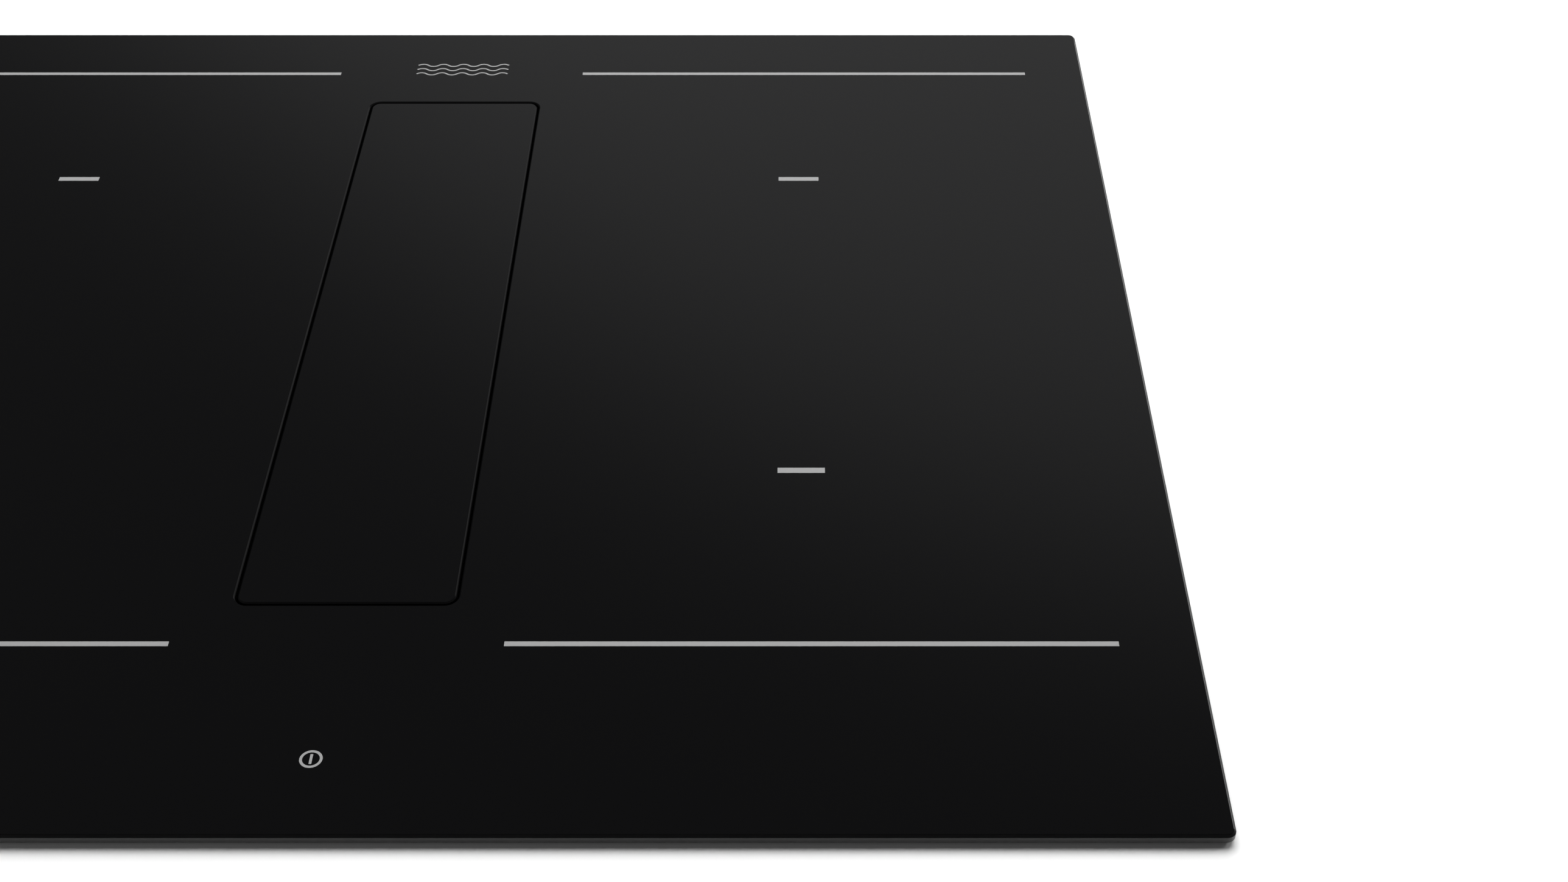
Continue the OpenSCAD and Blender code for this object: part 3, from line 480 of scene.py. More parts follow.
def repeated(name, template, places, turns, material, smooth=35):
    """One part set on many places, each with its own turn."""
    pattern = Pattern("repeat_" + name, Part=template)
    part = pattern.node("GeometryNodeObjectInfo", None, {"Object": pattern.given("Part")}, "Geometry")
    turn = pattern.node("GeometryNodeInputNamedAttribute", {"data_type": "FLOAT_VECTOR"}, {"Name": "turn"})
    rotation = pattern.node("FunctionNodeEulerToRotation", None, {0: turn})
    sockets = {"Points": pattern.given("Places"), "Instance": part, "Rotation": rotation}
    spread = pattern.node("GeometryNodeInstanceOnPoints", None, sockets)
    made = pattern.close(spread, material).run(name, places, turns, smooth)
    bpy.data.objects.remove(template)
    return made


# Finishes

def black_glass():
    """Polished glass-ceramic with a trace of haze on top and fine-ground edges below it."""
    polished_above = 0.00482
    glass = Finish("black_glass", IOR=1.5)
    place = glass.node("ShaderNodeTexCoord", output="Object")
    ground = glass.node("ShaderNodeSeparateXYZ", None, {0: place}, "Z") < polished_above
    haze = glass.noise(9, 4.0, 0.6, warp=0.6)
    wipe = glass.noise(14, 3.0, 0.5, glass.place((1, 5, 1), (0, 0, 0.5)))
    specks = glass.cells(900) < 0.02
    glass.feed("Base Color", glass.blend(specks * 0.3, (0.0022, 0.0022, 0.0024), 0.05))
    grinding = glass.noise(1500, 2.0, 0.5, glass.place((1, 1, 0.1)))
    polish = glass.between(haze * wipe, 0.02, 0.1)
    glass.feed("Roughness", polish * (1 - ground) + glass.between(grinding, 0.3, 0.45) * ground)
    return glass.material


def grey_print():
    """Fired ceramic ink with a fine screen grain."""
    ink = Finish("grey_print", IOR=1.5)
    grain = ink.noise(2600, 2.0)
    ink.feed("Base Color", ink.blend(grain, 0.2, 0.24))
    ink.feed("Roughness", ink.between(grain, 0.35, 0.5))
    ink.relief(grain, 0.000008)
    return ink.material


def foam_seal():
    """Closed-cell foam strip, its skin slit open along the edge."""
    foam = Finish("foam_seal", Roughness=0.95, Specular_IOR_Level=0.2)
    pores = foam.ramp(foam.cells(1500), (0.15, 0.0), (0.6, 1.0))
    tone = foam.noise(50, 3.0)
    foam.feed("Base Color", foam.blend(pores * tone, 0.012, 0.05))
    foam.relief(pores, 0.0002)
    return foam.material


def silicone():
    """Soft moulded silicone with a dull bloom."""
    rubber = Finish("silicone", Specular_IOR_Level=0.4)
    bloom = rubber.noise(45, 4.0, 0.6)
    rubber.feed("Base Color", rubber.blend(bloom, 0.014, 0.032))
    rubber.feed("Roughness", rubber.between(bloom, 0.5, 0.75))
    rubber.relief(rubber.noise(1800), 0.00002)
    return rubber.material


def stainless_sheet():
    """Stainless sheet brushed along its length."""
    steel = Finish("stainless_sheet", Metallic=1.0)
    brushing = steel.noise(900, 3.0, 0.6, steel.place((1, 0.02, 1)))
    stain = steel.noise(12, 3.0)
    steel.feed("Base Color", steel.blend(brushing, (0.48, 0.47, 0.45), (0.62, 0.61, 0.59)))
    steel.feed("Roughness", steel.between(brushing * 0.7 + stain * 0.3, 0.18, 0.42))
    steel.relief(brushing, 0.00002)
    return steel.material


def zinc_steel():
    """Blue-passivated zinc plating with its faint play of tints."""
    plating = Finish("zinc_steel", Metallic=1.0)
    tint = plating.noise(60, 3.0, warp=0.8)
    stops = ((0.3, (0.52, 0.56, 0.62)), (0.5, (0.64, 0.64, 0.6)), (0.7, (0.6, 0.56, 0.58)))
    plating.feed("Base Color", plating.ramp(tint, *stops))
    plating.feed("Roughness", plating.between(plating.noise(400), 0.2, 0.42))
    plating.relief(plating.noise(2400), 0.00001)
    return plating.material


def black_plastic():
    """Moulded black plastic with a spark-eroded grain and rubbed high spots."""
    shell = Finish("black_plastic", IOR=1.46)
    grain = shell.cells(2600, "SMOOTH_F1")
    rub = shell.noise(22, 4.0, 0.6)
    shell.feed("Base Color", shell.blend(rub, 0.011, 0.022))
    shell.feed("Roughness", shell.between(rub * 0.6 + grain, 0.38, 0.62))
    shell.relief(grain, 0.00003)
    return shell.material


def filter_mesh():
    """Bare expanded aluminium with a breath of grease in places."""
    mesh = Finish("filter_mesh", Metallic=1.0)
    film = mesh.noise(35, 4.0, 0.6)
    roll = mesh.noise(1200, 2.0, 0.5, mesh.place((1, 0.05, 0.05)))
    mesh.feed("Base Color", mesh.blend(film, (0.66, 0.67, 0.68), (0.55, 0.53, 0.48)))
    mesh.feed("Roughness", mesh.between(film * 0.7 + roll * 0.3, 0.22, 0.5))
    mesh.relief(roll, 0.00001)
    return mesh.material


def galvanised_steel():
    """Hot-dip zinc with its frosted spangle."""
    sheet = Finish("galvanised_steel", Metallic=1.0)
    flake = sheet.cells(220, output="Color") * 1.0
    frost = sheet.noise(160, 5.0, 0.7, warp=1.5)
    sheet.feed("Base Color", sheet.blend(flake, (0.3, 0.315, 0.33), (0.46, 0.475, 0.49)))
    sheet.feed("Roughness", sheet.between(flake * 0.6 + frost * 0.4, 0.26, 0.55))
    sheet.relief(flake * 0.5 + frost, 0.00003)
    return sheet.material


def aluminium_sheet():
    """Mill-finish aluminium with faint rolling lines and handling marks."""
    sheet = Finish("aluminium_sheet", Metallic=1.0)
    rolling = sheet.noise(700, 3.0, 0.6, sheet.place((0.02, 1, 1)))
    scuffs = sheet.noise(90, 2.0, 0.5, sheet.place((1, 6, 1), (0, 0, 0.9)))
    marks = sheet.ramp(scuffs, (0.62, 0.0), (0.7, 1.0))
    sheet.feed("Base Color", sheet.blend(rolling, (0.62, 0.63, 0.64), (0.74, 0.75, 0.76)))
    sheet.feed("Roughness", sheet.between(rolling * 0.6 + marks * 0.4, 0.26, 0.5))
    sheet.relief(rolling, 0.00002)
    return sheet.material


def copper_wire():
    """Enamelled copper strands with a warm lacquer coat."""
    wire = Finish("copper_wire", Metallic=1.0, Coat_Roughness=0.2)
    strands = wire.cells(2400)
    heat = wire.noise(30, 3.0)
    wire.feed("Base Color", wire.blend(strands * 0.8 + heat * 0.3, (0.5, 0.16, 0.055), (0.82, 0.36, 0.16)))
    wire.feed("Roughness", wire.between(heat, 0.24, 0.42))
    wire.feed("Coat Weight", wire.between(heat, 0.3, 0.7))
    wire.relief(strands, 0.0001)
    return wire.material


def white_plastic():
    """Glass-filled nylon, off-white and slightly mottled."""
    nylon = Finish("white_plastic", IOR=1.5)
    fibres = nylon.noise(700, 3.0, 0.6, nylon.place((1, 0.2, 1), (0, 0, 0.4)))
    mottle = nylon.noise(40, 3.0)
    nylon.feed("Base Color", nylon.blend(fibres * 0.5 + mottle * 0.5, (0.62, 0.6, 0.55), (0.76, 0.75, 0.71)))
    nylon.feed("Roughness", nylon.between(fibres, 0.42, 0.62))
    nylon.relief(fibres, 0.00003)
    return nylon.material


def ferrite():
    """Sintered ferrite, dark and fine-grained, with small chipped pits."""
    core = Finish("ferrite", Specular_IOR_Level=0.6)
    grain = core.noise(2200, 3.0)
    pits = core.ramp(core.cells(500), (0.06, 1.0), (0.16, 0.0))
    core.feed("Base Color", core.blend(grain, (0.02, 0.02, 0.022), (0.055, 0.053, 0.056)))
    core.feed("Roughness", core.between(grain * 0.6 + pits * 0.4, 0.4, 0.8))
    core.relief(grain - pits, 0.00006)
    return core.material


def mica():
    """Pressed mica flakes with a pearly, smoky gold sheen."""
    sheet = Finish("mica", IOR=1.58)
    flakes = sheet.cells(300, output="Color") * 1.0
    cloud = sheet.noise(60, 4.0, warp=1.0)
    tone = flakes * 0.6 + cloud * 0.4
    stops = ((0.2, (0.3, 0.22, 0.13)), (0.55, (0.5, 0.42, 0.3)), (0.85, (0.68, 0.62, 0.5)))
    sheet.feed("Base Color", sheet.ramp(tone, *stops))
    sheet.feed("Roughness", sheet.between(flakes, 0.18, 0.5))
    sheet.feed("Metallic", flakes * 0.25)
    sheet.relief(tone, 0.00005)
    return sheet.material


def sensor_ceramic():
    """Glazed ceramic bead with pinholes."""
    bead = Finish("sensor_ceramic", IOR=1.6)
    glaze = bead.noise(500, 3.0)
    pinholes = bead.cells(1200) < 0.05
    bead.feed("Base Color", bead.blend(glaze - pinholes * 0.6, (0.45, 0.4, 0.34), (0.82, 0.8, 0.76)))
    bead.feed("Roughness", bead.between(glaze, 0.16, 0.4))
    bead.relief(glaze, 0.00003)
    return bead.material


def circuit_board():
    """Green solder mask over tracks that run in bundles, with tinned pads."""
    board = Finish("circuit_board", IOR=1.5)
    split = board.make("ShaderNodeSeparateXYZ", None, {0: board.node("ShaderNodeTexCoord", output="Object")})
    along, across = (Wire(board, split.outputs[axis]) for axis in "XY")
    bundle = board.cells(45, output="Color") * 1.0
    pitch = 500
    rows = (along * pitch % 1 > 0.5) * (bundle > 0.5) + (across * pitch % 1 > 0.5) * (bundle < 0.42)
    pads = board.cells(260, "F1", output="Distance") < 0.16
    track = board.blend(rows, (0.006, 0.055, 0.022), (0.014, 0.11, 0.045))
    board.feed("Base Color", board.blend(pads, track, (0.6, 0.6, 0.58)))
    board.feed("Metallic", pads * 0.9)
    board.feed("Roughness", board.between(board.noise(80), 0.22, 0.4))
    board.relief(rows * 0.5 + pads, 0.00004)
    return board.material


def board_part_mix():
    """Dark sleeved and potted parts: print-free shrink sleeve over tinned leads."""
    sleeve = Finish("board_part_mix", IOR=1.5)
    tone = sleeve.noise(25, 3.0)
    wrinkle = sleeve.noise(500, 3.0, 0.5, sleeve.place((1, 1, 0.1)))
    sleeve.feed("Base Color", sleeve.blend(tone, (0.012, 0.014, 0.02), (0.03, 0.034, 0.045)))
    sleeve.feed("Roughness", sleeve.between(wrinkle, 0.25, 0.5))
    sleeve.relief(wrinkle, 0.00006)
    return sleeve.material


FINISHES = {maker.__name__: maker for maker in (
    black_glass, grey_print, foam_seal, silicone, stainless_sheet, zinc_steel, black_plastic, filter_mesh,
    galvanised_steel, aluminium_sheet, copper_wire, white_plastic, ferrite, mica, sensor_ceramic,
    circuit_board, board_part_mix)}
MADE = {}


def finish(slot):
    """The one material of a slot, made when it is first asked for."""
    if slot not in MADE:
        MADE[slot] = FINISHES[slot]()
    return MADE[slot]


def dress_frame():
    """Gives every CAD node the finish of its slot."""
    for row in frame["record"]["subparts"]:
        for place in frame["nodes"][row["node"]].material_slots:
            place.material = finish(row["material_slot"])


# Detailed pieces

WHEEL_CUP = 38 * MM
WHEEL_SHAFT = 4 * MM
FAN_HUB = 15 * MM
FAN_TIP = 34.5 * MM
FAN_PIN = 1.5 * MM
SCREW_RADIUS = 1.5 * MM
COIL_HOLE = 28 * MM
COIL_INNER_CORNER = 16 * MM
COIL_OUTER_CORNER = 60 * MM
CASING_FLANGE = 10 * MM


def centre(node):
    low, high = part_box(node)
    return (Vector(low) + Vector(high)) / 2


def stand_in(made, node):
    """Puts a detailed piece in the place of a CAD node, on its body and with its finish."""
    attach(made, body_of(frame["nodes"][node])[0])
    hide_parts(node)
    return made


def slot_of(node):
    return next(row["material_slot"] for row in frame["record"]["subparts"] if row["node"] == node)


def turned_to(axis, sign):
    """The turn that takes +Z to an axis."""
    quarter = sign * math.pi / 2
    return ((0, quarter, 0), (-quarter, 0, 0), (math.pi / 2 - quarter, 0, 0))[axis]


def cross_recess(angle, arm, half_width):
    """Distance from the middle to the edge of a cross at an angle."""
    c, s = abs(math.cos(angle)), abs(math.sin(angle))
    return min(arm / max(c, s), half_width / max(min(c, s), 0.001))


def pan_screw(radius, length):
    """A pan-head screw standing on its seat, with a cross recess and a rolled thread."""
    steps = 32
    head = 1.8 * radius
    mesh = bmesh.new()
    pitch = 0.5 * MM
    rings = [(0.5 * radius, -length), (0.82 * radius, -length + 0.4 * radius)]
    for i in range(int((length - radius) / pitch)):
        z = -length + 0.5 * radius + i * pitch
        rings += [(radius, z), (0.82 * radius, z + pitch / 2)]
    rings += [(radius, -0.1 * radius), (radius, 0), (0.95 * head, 0), (head, 0.15 * radius)]
    for lift in (0.35, 0.65, 0.9):
        rings.append((head * math.cos(lift * 1.1) ** 0.6, 1.2 * radius * math.sin(lift * math.pi / 2)))
    loops = []
    for reach, z in rings:
        angles = round_angles(steps)
        loops.append([mesh.verts.new((reach * math.cos(a), reach * math.sin(a), z)) for a in angles])
    for scale, z in ((1.0, 1.2), (0.95, 1.1), (0.7, 0.6)):
        loops.append([])
        for a in round_angles(steps):
            reach = scale * cross_recess(a, 1.1 * radius, 0.25 * radius)
            loops[-1].append(mesh.verts.new((reach * math.cos(a), reach * math.sin(a), z * radius)))
    for below, above in zip(loops, loops[1:]):
        for i in range(steps):
            mesh.faces.new((below[i], below[(i + 1) % steps], above[(i + 1) % steps], above[i]))
    mesh.faces.new(loops[0][::-1])
    mesh.faces.new(loops[-1])
    bmesh.ops.recalc_face_normals(mesh, faces=mesh.faces)
    return mesh


def round_angles(steps):
    """Angles evenly round a turn."""
    return [2 * math.pi * i / steps for i in range(steps)]


def screws(node):
    """Pan-head screws on the places of a CAD node's screws, each with its own turn of the slot."""
    head_w = 3.6 * SCREW_RADIUS
    head_t = 1.2 * SCREW_RADIUS
    lots = {}
    for low, high in islands(node):
        size = high - low
        axis = max(range(3), key=lambda k: abs(size[k] - head_w))
        middle = (low + high) / 2
        sign = 1 if middle[axis] > 0 else -1
        middle[axis] = (high if sign > 0 else low)[axis] - sign * head_t
        length = round((size[axis] - head_t) / MM, 1) * MM
        lots.setdefault(length, []).append((middle, turned_to(axis, sign)))
    return lots


def join(name, parts, material, smooth=35):
    """One mesh from several finished meshes."""
    mesh = bmesh.new()
    for part in parts:
        mesh.from_mesh(part.data)
        bpy.data.objects.remove(part)
    return finished(name, mesh, material, smooth)


def screw_piece(name, node):
    parts = []
    for length, lot in screws(node).items():
        template = finished("screw", pan_screw(SCREW_RADIUS, length), finish(slot_of(node)))
        places, turns = zip(*lot)
        parts.append(repeated(name, template, places, turns, finish(slot_of(node))))
    stand_in(join(name, parts, finish(slot_of(node))), node)


def on_places(pattern, geometry):
    turn = pattern.node("GeometryNodeInputNamedAttribute", {"data_type": "FLOAT_VECTOR"}, {"Name": "turn"})
    rotation = pattern.node("FunctionNodeEulerToRotation", None, {0: turn})
    sockets = {"Points": pattern.given("Places"), "Instance": geometry, "Rotation": rotation}
    return pattern.node("GeometryNodeInstanceOnPoints", None, sockets)


def threaded_path(pattern, count, position, section):
    """A line of points moved by a formula and swept with a section."""
    line = pattern.node("GeometryNodeMeshLine", None, {"Count": count})
    moved = pattern.node("GeometryNodeSetPosition", None, {"Geometry": line, "Position": position})
    curve = pattern.node("GeometryNodeMeshToCurve", None, {0: moved})
    sockets = {"Curve": curve, "Profile Curve": section, "Fill Caps": True}
    return pattern.node("GeometryNodeCurveToMesh", None, sockets)


def wire_section(pattern, radius, sides):
    return pattern.node("GeometryNodeCurvePrimitiveCircle", None, {"Resolution": sides, "Radius": radius})


def winding(name, node, turns=26):
    """A flat pan winding: one litz wire wound from a small rounded square to a large one."""
    low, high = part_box(node)
    half = (Vector(high) - Vector(low)) / 2
    steps = 64
    wire_w = 1.25 * MM
    pattern = Pattern("winding", Turns=float(turns), WireRadius=wire_w,
                      HalfX=half.x - wire_w, HalfY=half.y - wire_w, Inner=COIL_HOLE + wire_w,
                      InnerCorner=COIL_INNER_CORNER, OuterCorner=COIL_OUTER_CORNER)
    index = pattern.node("GeometryNodeInputIndex")
    along = index / (turns * steps)
    angle = along * pattern.given("Turns") * (2 * math.pi)
    corner = pattern.given("InnerCorner") * (1 - along) + pattern.given("OuterCorner") * along
    half_x = pattern.given("Inner") * (1 - along) + pattern.given("HalfX") * along
    half_y = pattern.given("Inner") * (1 - along) + pattern.given("HalfY") * along
    x = (angle.cos() + 0.0001).sign() * (half_x - corner) + corner * angle.cos()
    y = (angle.sin() + 0.0001).sign() * (half_y - corner) + corner * angle.sin()
    section = pattern.node("GeometryNodeTransform", None,
                           {"Geometry": wire_section(pattern, pattern.given("WireRadius"), 8),
                            "Scale": (1, half.z / wire_w, 1)})
    path = threaded_path(pattern, turns * steps + 1, pattern.vector(x, y, 0.0), section)
    pattern.close(on_places(pattern, path), finish("copper_wire"))
    made = pattern.run(name, (centre(node),), smooth=50)
    return stand_in(made, node)


def springs(name, node, turns, wire):
    """Compression springs with closed ends, one on each place of a CAD spring."""
    boxes = islands(node)
    size = boxes[0][1] - boxes[0][0]
    places = [((low.x + high.x) / 2, (low.y + high.y) / 2, low.z) for low, high in boxes]
    steps = 20
    pattern = Pattern("spring", Turns=float(turns), CoilRadius=size.x / 2 - wire, WireRadius=wire,
                      Height=size.z)
    index = pattern.node("GeometryNodeInputIndex")
    turn = index / steps
    angle = turn * (2 * math.pi)
    thick = pattern.given("WireRadius")
    open_pitch = (pattern.given("Height") - thick * 6) / (pattern.given("Turns") - 2)
    first = pattern.node("ShaderNodeMath", {"operation": "MINIMUM"}, {0: turn, 1: 1.0})
    middle = pattern.node("ShaderNodeClamp", None, {0: turn, 1: 1.0, 2: turns - 1.0}) - 1
    last = pattern.node("ShaderNodeMath", {"operation": "MAXIMUM"}, {0: turn - (turns - 1), 1: 0.0})
    z = thick + (first + last) * 2 * thick + middle * open_pitch
    reach = pattern.given("CoilRadius")
    position = pattern.vector(reach * angle.cos(), reach * angle.sin(), z)
    path = threaded_path(pattern, turns * steps + 1, position, wire_section(pattern, thick, 6))
    made = pattern.close(on_places(pattern, path), finish(slot_of(node))).run(name, places, smooth=50)
    return stand_in(made, node)


def border(mesh, low, high, width):
    """A folded strip round the four sides of a panel that stands in the YZ plane."""
    x0, x1 = low[0], high[0]
    bend = 0.3 * MM
    lip = 0.6 * MM
    profile = [(0, x0 + bend), (bend, x0), (width, x0), (width, x0 + lip),
               (width, x1 - lip), (width, x1), (bend, x1), (0, x1 - bend)]
    loops = []
    for inset, x in profile:
        y0, y1, z0, z1 = low[1] + inset, high[1] - inset, low[2] + inset, high[2] - inset
        corners = ((x, y0, z0), (x, y1, z0), (x, y1, z1), (x, y0, z1))
        loops.append([mesh.verts.new(point) for point in corners])
    for first, second in zip(loops, loops[1:] + loops[:1]):
        for i in range(4):
            mesh.faces.new((first[i], first[(i + 1) % 4], second[(i + 1) % 4], second[i]))
    bmesh.ops.recalc_face_normals(mesh, faces=mesh.faces)
    return mesh


def filter_panel(name, node):
    """Two layers of expanded mesh in a folded edge strip."""
    low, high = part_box(node)
    middle = centre(node)
    edge = 3 * MM
    opening_l, opening_h = high[1] - low[1] - 2 * edge, high[2] - low[2] - 2 * edge
    rows = 10
    periods = 54
    row_h = opening_h / rows
    strand = 0.45 * MM
    pattern = Pattern("expanded_mesh", Length=opening_l + 2 * MM, RowHeight=row_h - strand / 2,
                      Strand=strand)
    index = pattern.node("GeometryNodeInputIndex")
    swing = (index % 4 - 2).__abs__() - 1
    along = (index / (4 * periods) - 0.5) * pattern.given("Length")
    position = pattern.vector(swing * 0.3 * MM, along, swing * pattern.given("RowHeight") * 0.5)
    sockets = {"Width": pattern.given("Strand"), "Height": pattern.given("Strand") * 1.4}
    section = pattern.node("GeometryNodeCurvePrimitiveQuadrilateral", None, sockets)
    path = threaded_path(pattern, 4 * periods + 1, position, section)
    places = []
    turns = []
    for layer in (-0.5, 0.5):
        for row in range(rows):
            shift = layer * opening_l / periods * 0.5
            z = low[2] + edge + row_h * (row + 0.5)
            places.append((middle.x + layer * 0.9 * MM, middle.y + shift, z))
            turns.append((0, math.pi * (row % 2), 0))
    pattern.close(on_places(pattern, path), finish("filter_mesh"))
    mesh = pattern.run(name + "_strands", places, turns)
    strip = finished(name + "_edge", border(bmesh.new(), low, high, edge), finish("filter_mesh"))
    return stand_in(join(name, (mesh, strip), finish("filter_mesh"), 30), node)


def wheel_blade(inner, outer, height, thick):
    """A forward-curved blade of the blower wheel, standing on Z, its root on +X."""
    mesh = bmesh.new()
    count = 7
    lean = math.radians(38)
    sides = []
    for side in (-0.5, 0.5):
        line = []
        for i in range(count):
            t = i / (count - 1)
            reach = inner + (outer - inner) * t
            swing = lean * t * t * 0.35 + side * thick * (1 - 0.5 * abs(2 * t - 1)) / reach
            line.append((reach * math.cos(swing), reach * math.sin(swing)))
        sides.append(line)
    outline = sides[0] + sides[1][::-1]
    bottom = [mesh.verts.new((x, y, 0)) for x, y in outline]
    top = [mesh.verts.new((x, y, height)) for x, y in outline]
    total = len(outline)
    for i in range(total):
        mesh.faces.new((bottom[i], bottom[(i + 1) % total], top[(i + 1) % total], top[i]))
    for i in range(count - 1):
        mesh.faces.new((top[i], top[i + 1], top[total - 2 - i], top[total - 1 - i]))
        mesh.faces.new((bottom[i + 1], bottom[i], bottom[total - 1 - i], bottom[total - 2 - i]))
    bmesh.ops.recalc_face_normals(mesh, faces=mesh.faces)
    return mesh


def blower_wheel():
    """The blower wheel: cup, disc, rim ring and thirty curved blades."""
    node = "impeller"
    low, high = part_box(node)
    axis = centre(node)
    outer = (high[0] - low[0]) / 2
    inner = outer - 15 * MM
    disc = 1.5 * MM
    height = high[2] - low[2]
    cup, shaft, hub, cup_h = WHEEL_CUP, WHEEL_SHAFT, WHEEL_SHAFT + 5 * MM, height - 6 * MM
    lip = 0.5 * MM
    profile = [(cup, lip), (cup + lip, 0), (outer - lip, 0), (outer, lip), (outer - 0.2 * MM, disc),
               (cup + disc + lip, disc), (cup + disc, disc + lip), (cup + disc, cup_h - 2 * lip),
               (cup + disc - 2 * lip, cup_h), (shaft, cup_h),
               (shaft, height - 20 * MM), (hub, height - 20 * MM), (hub, cup_h - disc), (cup, cup_h - disc)]
    body = lathe(bmesh.new(), profile, 72)
    ring = [(inner, height - disc), (outer - lip, height - disc), (outer, height - disc / 2),
            (outer - lip, height), (inner + lip, height), (inner, height - lip)]
    lathe(body, ring, 72)
    blade = wheel_blade(inner + lip, outer - 2 * lip, height - disc, 1.1 * MM)
    template = finished("blade", blade, finish(slot_of(node)))
    placed(body, Matrix.Translation((axis.x, axis.y, low[2])))
    hub_part = finished("wheel_hub", body, finish(slot_of(node)))
    turns = [(0, 0, 2 * math.pi * i / 30) for i in range(30)]
    places = [(axis.x, axis.y, low[2] + disc / 2)] * 30
    blades = repeated("wheel_blades", template, places, turns, finish(slot_of(node)))
    stand_in(join("blower_wheel", (hub_part, blades), finish(slot_of(node))), node)


def fan_blade(root, tip, thick):
    """A twisted blade along +X: steep and short at the root, flat and broad at the tip."""
    mesh = bmesh.new()
    across, out = 6, 7
    faces = []
    for side in (-0.5, 0.5):
        grid = []
        for j in range(out):
            t = j / (out - 1)
            reach = root + (tip - root) * t
            pitch = math.radians(50 - 22 * t)
            chord = (14.5 + 7 * t) * MM
            row = []
            for i in range(across):
                s = i / (across - 1) - 0.5
                camber = 0.06 * chord * (1 - 4 * s * s)
                body = side * thick * (1.05 - 1.6 * s * s)
                y = s * chord * math.cos(pitch) - (camber + body) * math.sin(pitch)
                z = s * chord * math.sin(pitch) + (camber + body) * math.cos(pitch)
                swing = (y + 0.08 * chord * t) / reach
                row.append(mesh.verts.new((reach * math.cos(swing), reach * math.sin(swing), z)))
            grid.append(row)
        faces.append(grid)
    for grid in faces:
        for j in range(out - 1):
            for i in range(across - 1):
                mesh.faces.new((grid[j][i], grid[j][i + 1], grid[j + 1][i + 1], grid[j + 1][i]))
    rim = [[grid[0][i] for i in range(across)] + [grid[j][-1] for j in range(1, out)]
           + [grid[-1][i] for i in range(across - 2, -1, -1)] + [grid[j][0] for j in range(out - 2, 0, -1)]
           for grid in faces]
    total = len(rim[0])
    for i in range(total):
        mesh.faces.new((rim[0][i], rim[0][(i + 1) % total], rim[1][(i + 1) % total], rim[1][i]))
    bmesh.ops.recalc_face_normals(mesh, faces=mesh.faces)
    return mesh


def fan_wheel(name, node):
    """A cooling fan's hub cap with its seven blades."""
    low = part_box(node)[0]
    axis = centre(node)
    floor = low[2] - 0.5 * MM
    hub = FAN_HUB
    tip = FAN_TIP
    lip = 1.2 * MM
    profile = [(0, 0.5 * MM), (FAN_PIN, 0.5 * MM), (FAN_PIN, 4 * MM), (hub - 0.4 * MM, 4 * MM),
               (hub, 4.4 * MM),
               (hub, 18 * MM - lip), (hub - 0.35 * lip, 18 * MM - 0.35 * lip), (hub - lip, 18 * MM),
               (0.45 * hub, 18 * MM), (0.4 * hub, 17.6 * MM), (0, 17.6 * MM)]
    cap = lathe(bmesh.new(), profile, 48)
    placed(cap, Matrix.Translation((axis.x, axis.y, floor)))
    cap_part = finished("fan_cap", cap, finish(slot_of(node)))
    template = finished("fan_blade", fan_blade(hub - 1 * MM, tip, 1.3 * MM), finish(slot_of(node)))
    turns = [(0, 0, 2 * math.pi * i / 7) for i in range(7)]
    places = [(axis.x, axis.y, floor + 11 * MM)] * 7
    blades = repeated("fan_blades", template, places, turns, finish(slot_of(node)))
    stand_in(join(name, (cap_part, blades), finish(slot_of(node))), node)


def pressed_bead(length, width, rise):
    """A pressed stiffening bead standing along Z on a wall that faces +X, with rounded ends."""
    mesh = bmesh.new()
    across, along = 9, 24
    rows = []
    for j in range(along + 1):
        z = (j / along - 0.5) * length
        to_end = length / 2 - abs(z)
        taper = max(0.08, math.sin(min(1.0, to_end / (0.6 * width)) * math.pi / 2))
        row = []
        for i in range(across + 1):
            s = 2 * i / across - 1
            crown = rise * taper * max(0.0, math.cos(s * math.pi / 2)) ** 1.3
            row.append(mesh.verts.new((crown, s * width / 2 * taper, z)))
        rows.append(row)
    for below, above in zip(rows, rows[1:]):
        for i in range(across):
            mesh.faces.new((below[i], below[i + 1], above[i + 1], above[i]))
        mesh.faces.new((below[-1], below[0], above[0], above[-1]))
    mesh.faces.new(rows[0][::-1])
    mesh.faces.new(rows[-1])
    bmesh.ops.recalc_face_normals(mesh, faces=mesh.faces)
    return mesh


def casing_beads():
    """Stiffening beads in a row along each wall of the lower casing, clear of the hatch and the duct."""
    low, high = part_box("lower_casing")
    hatch_low, hatch_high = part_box("service_cover")
    length = 0.66 * (high[2] - low[2])
    middle_z = (high[2] + low[2]) / 2 - 4 * MM
    pitch = 30 * MM
    sink = 0.3 * MM
    inset = CASING_FLANGE + sink
    x0, x1, y0 = low[0] + inset, high[0] - inset, low[1] + inset
    places = []
    turns = []
    quarter = math.pi / 2
    for i in range(10):
        x = (x0 + x1) / 2 + (i - 4.5) * pitch
        places.append((x, y0, middle_z))
        turns.append((0, 0, -quarter))
    for i in range(12):
        y = (low[1] + high[1]) / 2 + (i - 5.5) * pitch
        places.append((x0, y, middle_z))
        turns.append((0, 0, math.pi))
        if not hatch_low[1] - 8 * MM < y < hatch_high[1] + 8 * MM:
            places.append((x1, y, middle_z))
            turns.append((0, 0, 0))
    template = finished("bead", pressed_bead(length, 9 * MM, 1.6 * MM), finish(slot_of("lower_casing")))
    beads = repeated("casing_beads", template, places, turns, finish(slot_of("lower_casing")))
    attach(beads, "root")


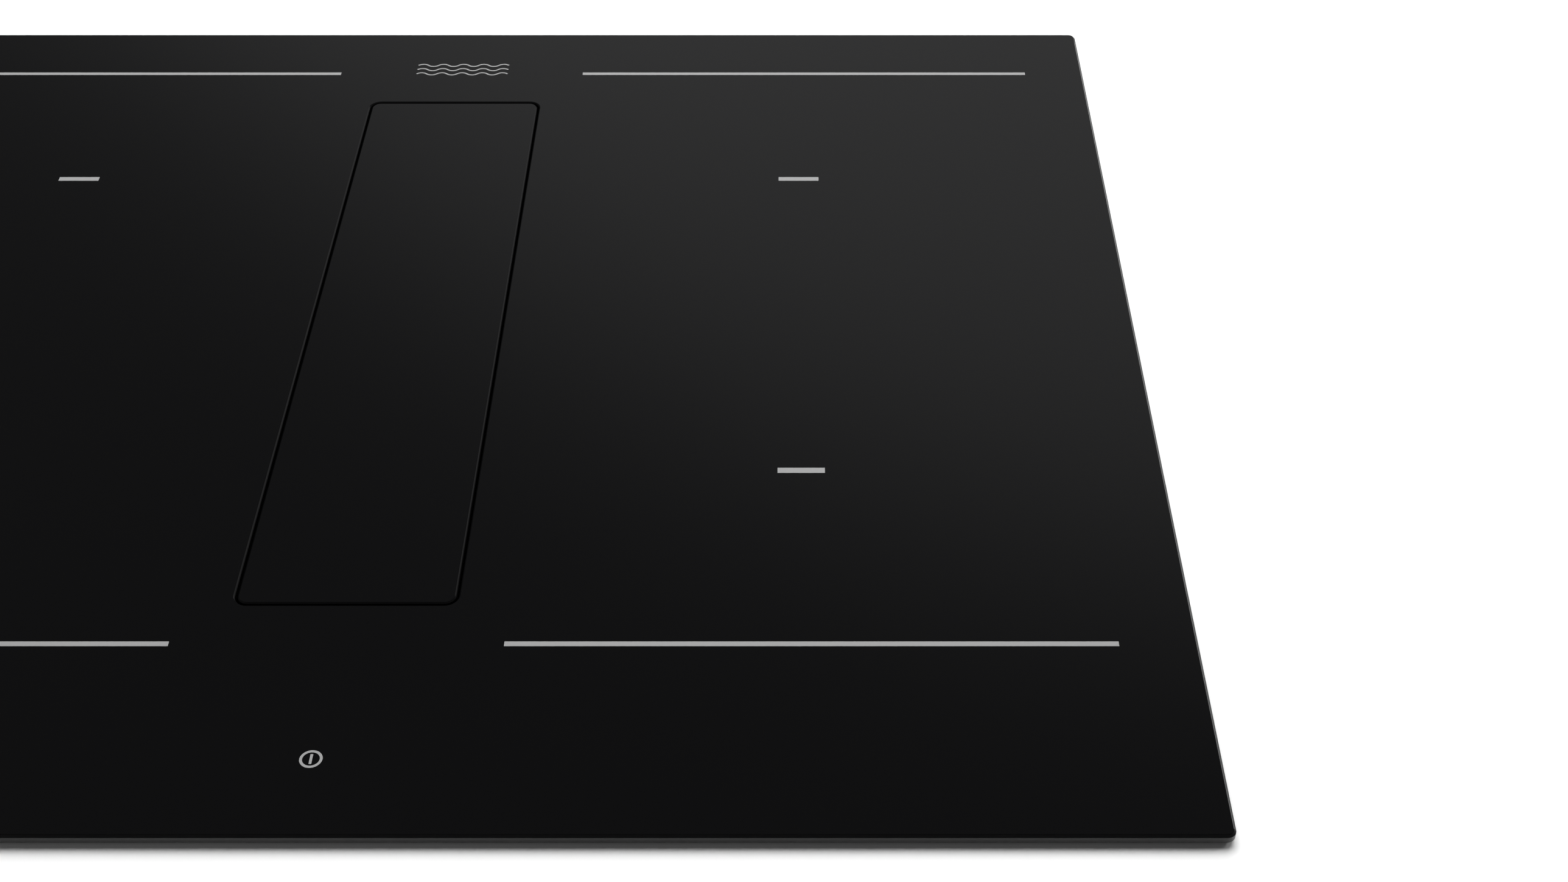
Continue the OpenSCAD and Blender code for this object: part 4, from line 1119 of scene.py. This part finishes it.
def sleeved_capacitor(radius, height):
    """An electrolytic can in its sleeve: rolled groove, rim and scored vent on top."""
    lip = 0.8 * MM
    groove = radius - 0.7 * MM
    profile = [(0, 0), (radius - lip, 0), (radius, 0.6 * MM), (radius, 2 * MM), (groove, 2.6 * MM),
               (groove, 3 * MM), (radius, 3.6 * MM), (radius, height - lip),
               (radius - 0.3 * lip, height - 0.3 * lip),
               (radius - lip, height), (radius - 2 * lip, height), (radius - 2.3 * lip, height - 0.4 * MM),
               (0, height - 0.4 * MM)]
    mesh = lathe(bmesh.new(), profile, 32)
    top = height - 0.4 * MM
    for turn in (0, 60, 120):
        rib = bmesh.new()
        low = (-0.6 * radius, -0.2 * MM, top - 0.1 * MM)
        high = (0.6 * radius, 0.2 * MM, top + 0.15 * MM)
        rounded_block(rib, low, high, 0.05 * MM, 1)
        placed(rib, Matrix.Rotation(math.radians(turn), 4, "Z"))
        data = bpy.data.meshes.new("rib")
        rib.to_mesh(data)
        rib.free()
        mesh.from_mesh(data)
    return mesh


def board_parts():
    """Sleeved capacitors, dipped film capacitors and wound chokes on the power boards."""
    node = "board_parts"
    parts = []
    chokes = []
    cans = []
    for low, high in islands(node):
        size = high - low
        middle = (low + high) / 2
        if abs(size.x - size.y) > 3 * MM:
            block = rounded_block(bmesh.new(), low, high, 1.1 * MM, 3)
            parts.append(finished("film_capacitor", block, finish(slot_of(node))))
        elif size.x > 25 * MM:
            chokes.append((middle, size))
        else:
            cans.append((middle.x, middle.y, low.z))
    radius, height = 8.97 * MM, 18 * MM
    template = finished("can", sleeved_capacitor(radius, height), finish(slot_of(node)))
    parts.append(repeated("cans", template, cans, [(0, 0, 0)] * len(cans), finish(slot_of(node))))
    for middle, size in chokes:
        parts.append(choke(middle, size))
    stand_in(join("board_components", parts, finish(slot_of(node))), node)


def choke(middle, size):
    """A toroid wound with one layer of wire."""
    wire = 0.75 * MM
    tube = size.z / 2 - wire
    ring = size.x / 2 - size.z / 2
    turns = 34
    steps = 14
    pattern = Pattern("toroid_winding", Turns=float(turns), Ring=ring, Tube=tube, WireRadius=wire)
    index = pattern.node("GeometryNodeInputIndex")
    around = index / (turns * steps) * (1.84 * math.pi)
    spin = index / steps * (2 * math.pi)
    reach = pattern.given("Ring") + pattern.given("Tube") * spin.cos()
    position = pattern.vector(reach * around.cos(), reach * around.sin(), pattern.given("Tube") * spin.sin())
    path = threaded_path(pattern, turns * steps + 1, position, wire_section(pattern, wire, 6))
    core = [(ring + (tube - wire) * math.cos(a), (tube - wire) * math.sin(a)) for a in round_angles(16)]
    body = placed(lathe(bmesh.new(), core, 40), Matrix.Translation(middle))
    core_part = finished("core", body, finish("ferrite"))
    pattern.close(on_places(pattern, path), finish(slot_of("board_parts")))
    coil = pattern.run("choke_wire", (middle,), smooth=50)
    return join("choke", (core_part, coil), finish(slot_of("board_parts")), 50)


camera()
studio_world()
studio_floor()
worktop_slab()
soft_light("key", (0.15, 1.05, 1.45), 2.5, 85, (0.0, 0.1, 0), glossy=False)
soft_light("side", (1.6, 0.3, 0.9), 0.5, 6, (0.1, 0, 0), glossy=False)
soft_light("fill", (-1.4, -1.2, 0.9), 1.2, 3, (0, 0, -0.1), glossy=False)
dress_frame()

screw_piece("pan_screws_frame", "frame_screws")
screw_piece("pan_screws_casing", "casing_screws")
for corner in ("back_left", "back_right", "front_left", "front_right"):
    winding("winding_" + corner, "coil_" + corner)
springs("springs_tray", "tray_springs", 9, 0.45 * MM)
springs("springs_touch", "touch_springs", 5, 0.35 * MM)
for side in ("left", "right"):
    filter_panel("expanded_mesh_" + side, "filter_mesh_" + side)
    fan_wheel("fan_wheel_" + side, "fan_rotor_" + side)
blower_wheel()
casing_beads()
board_parts()
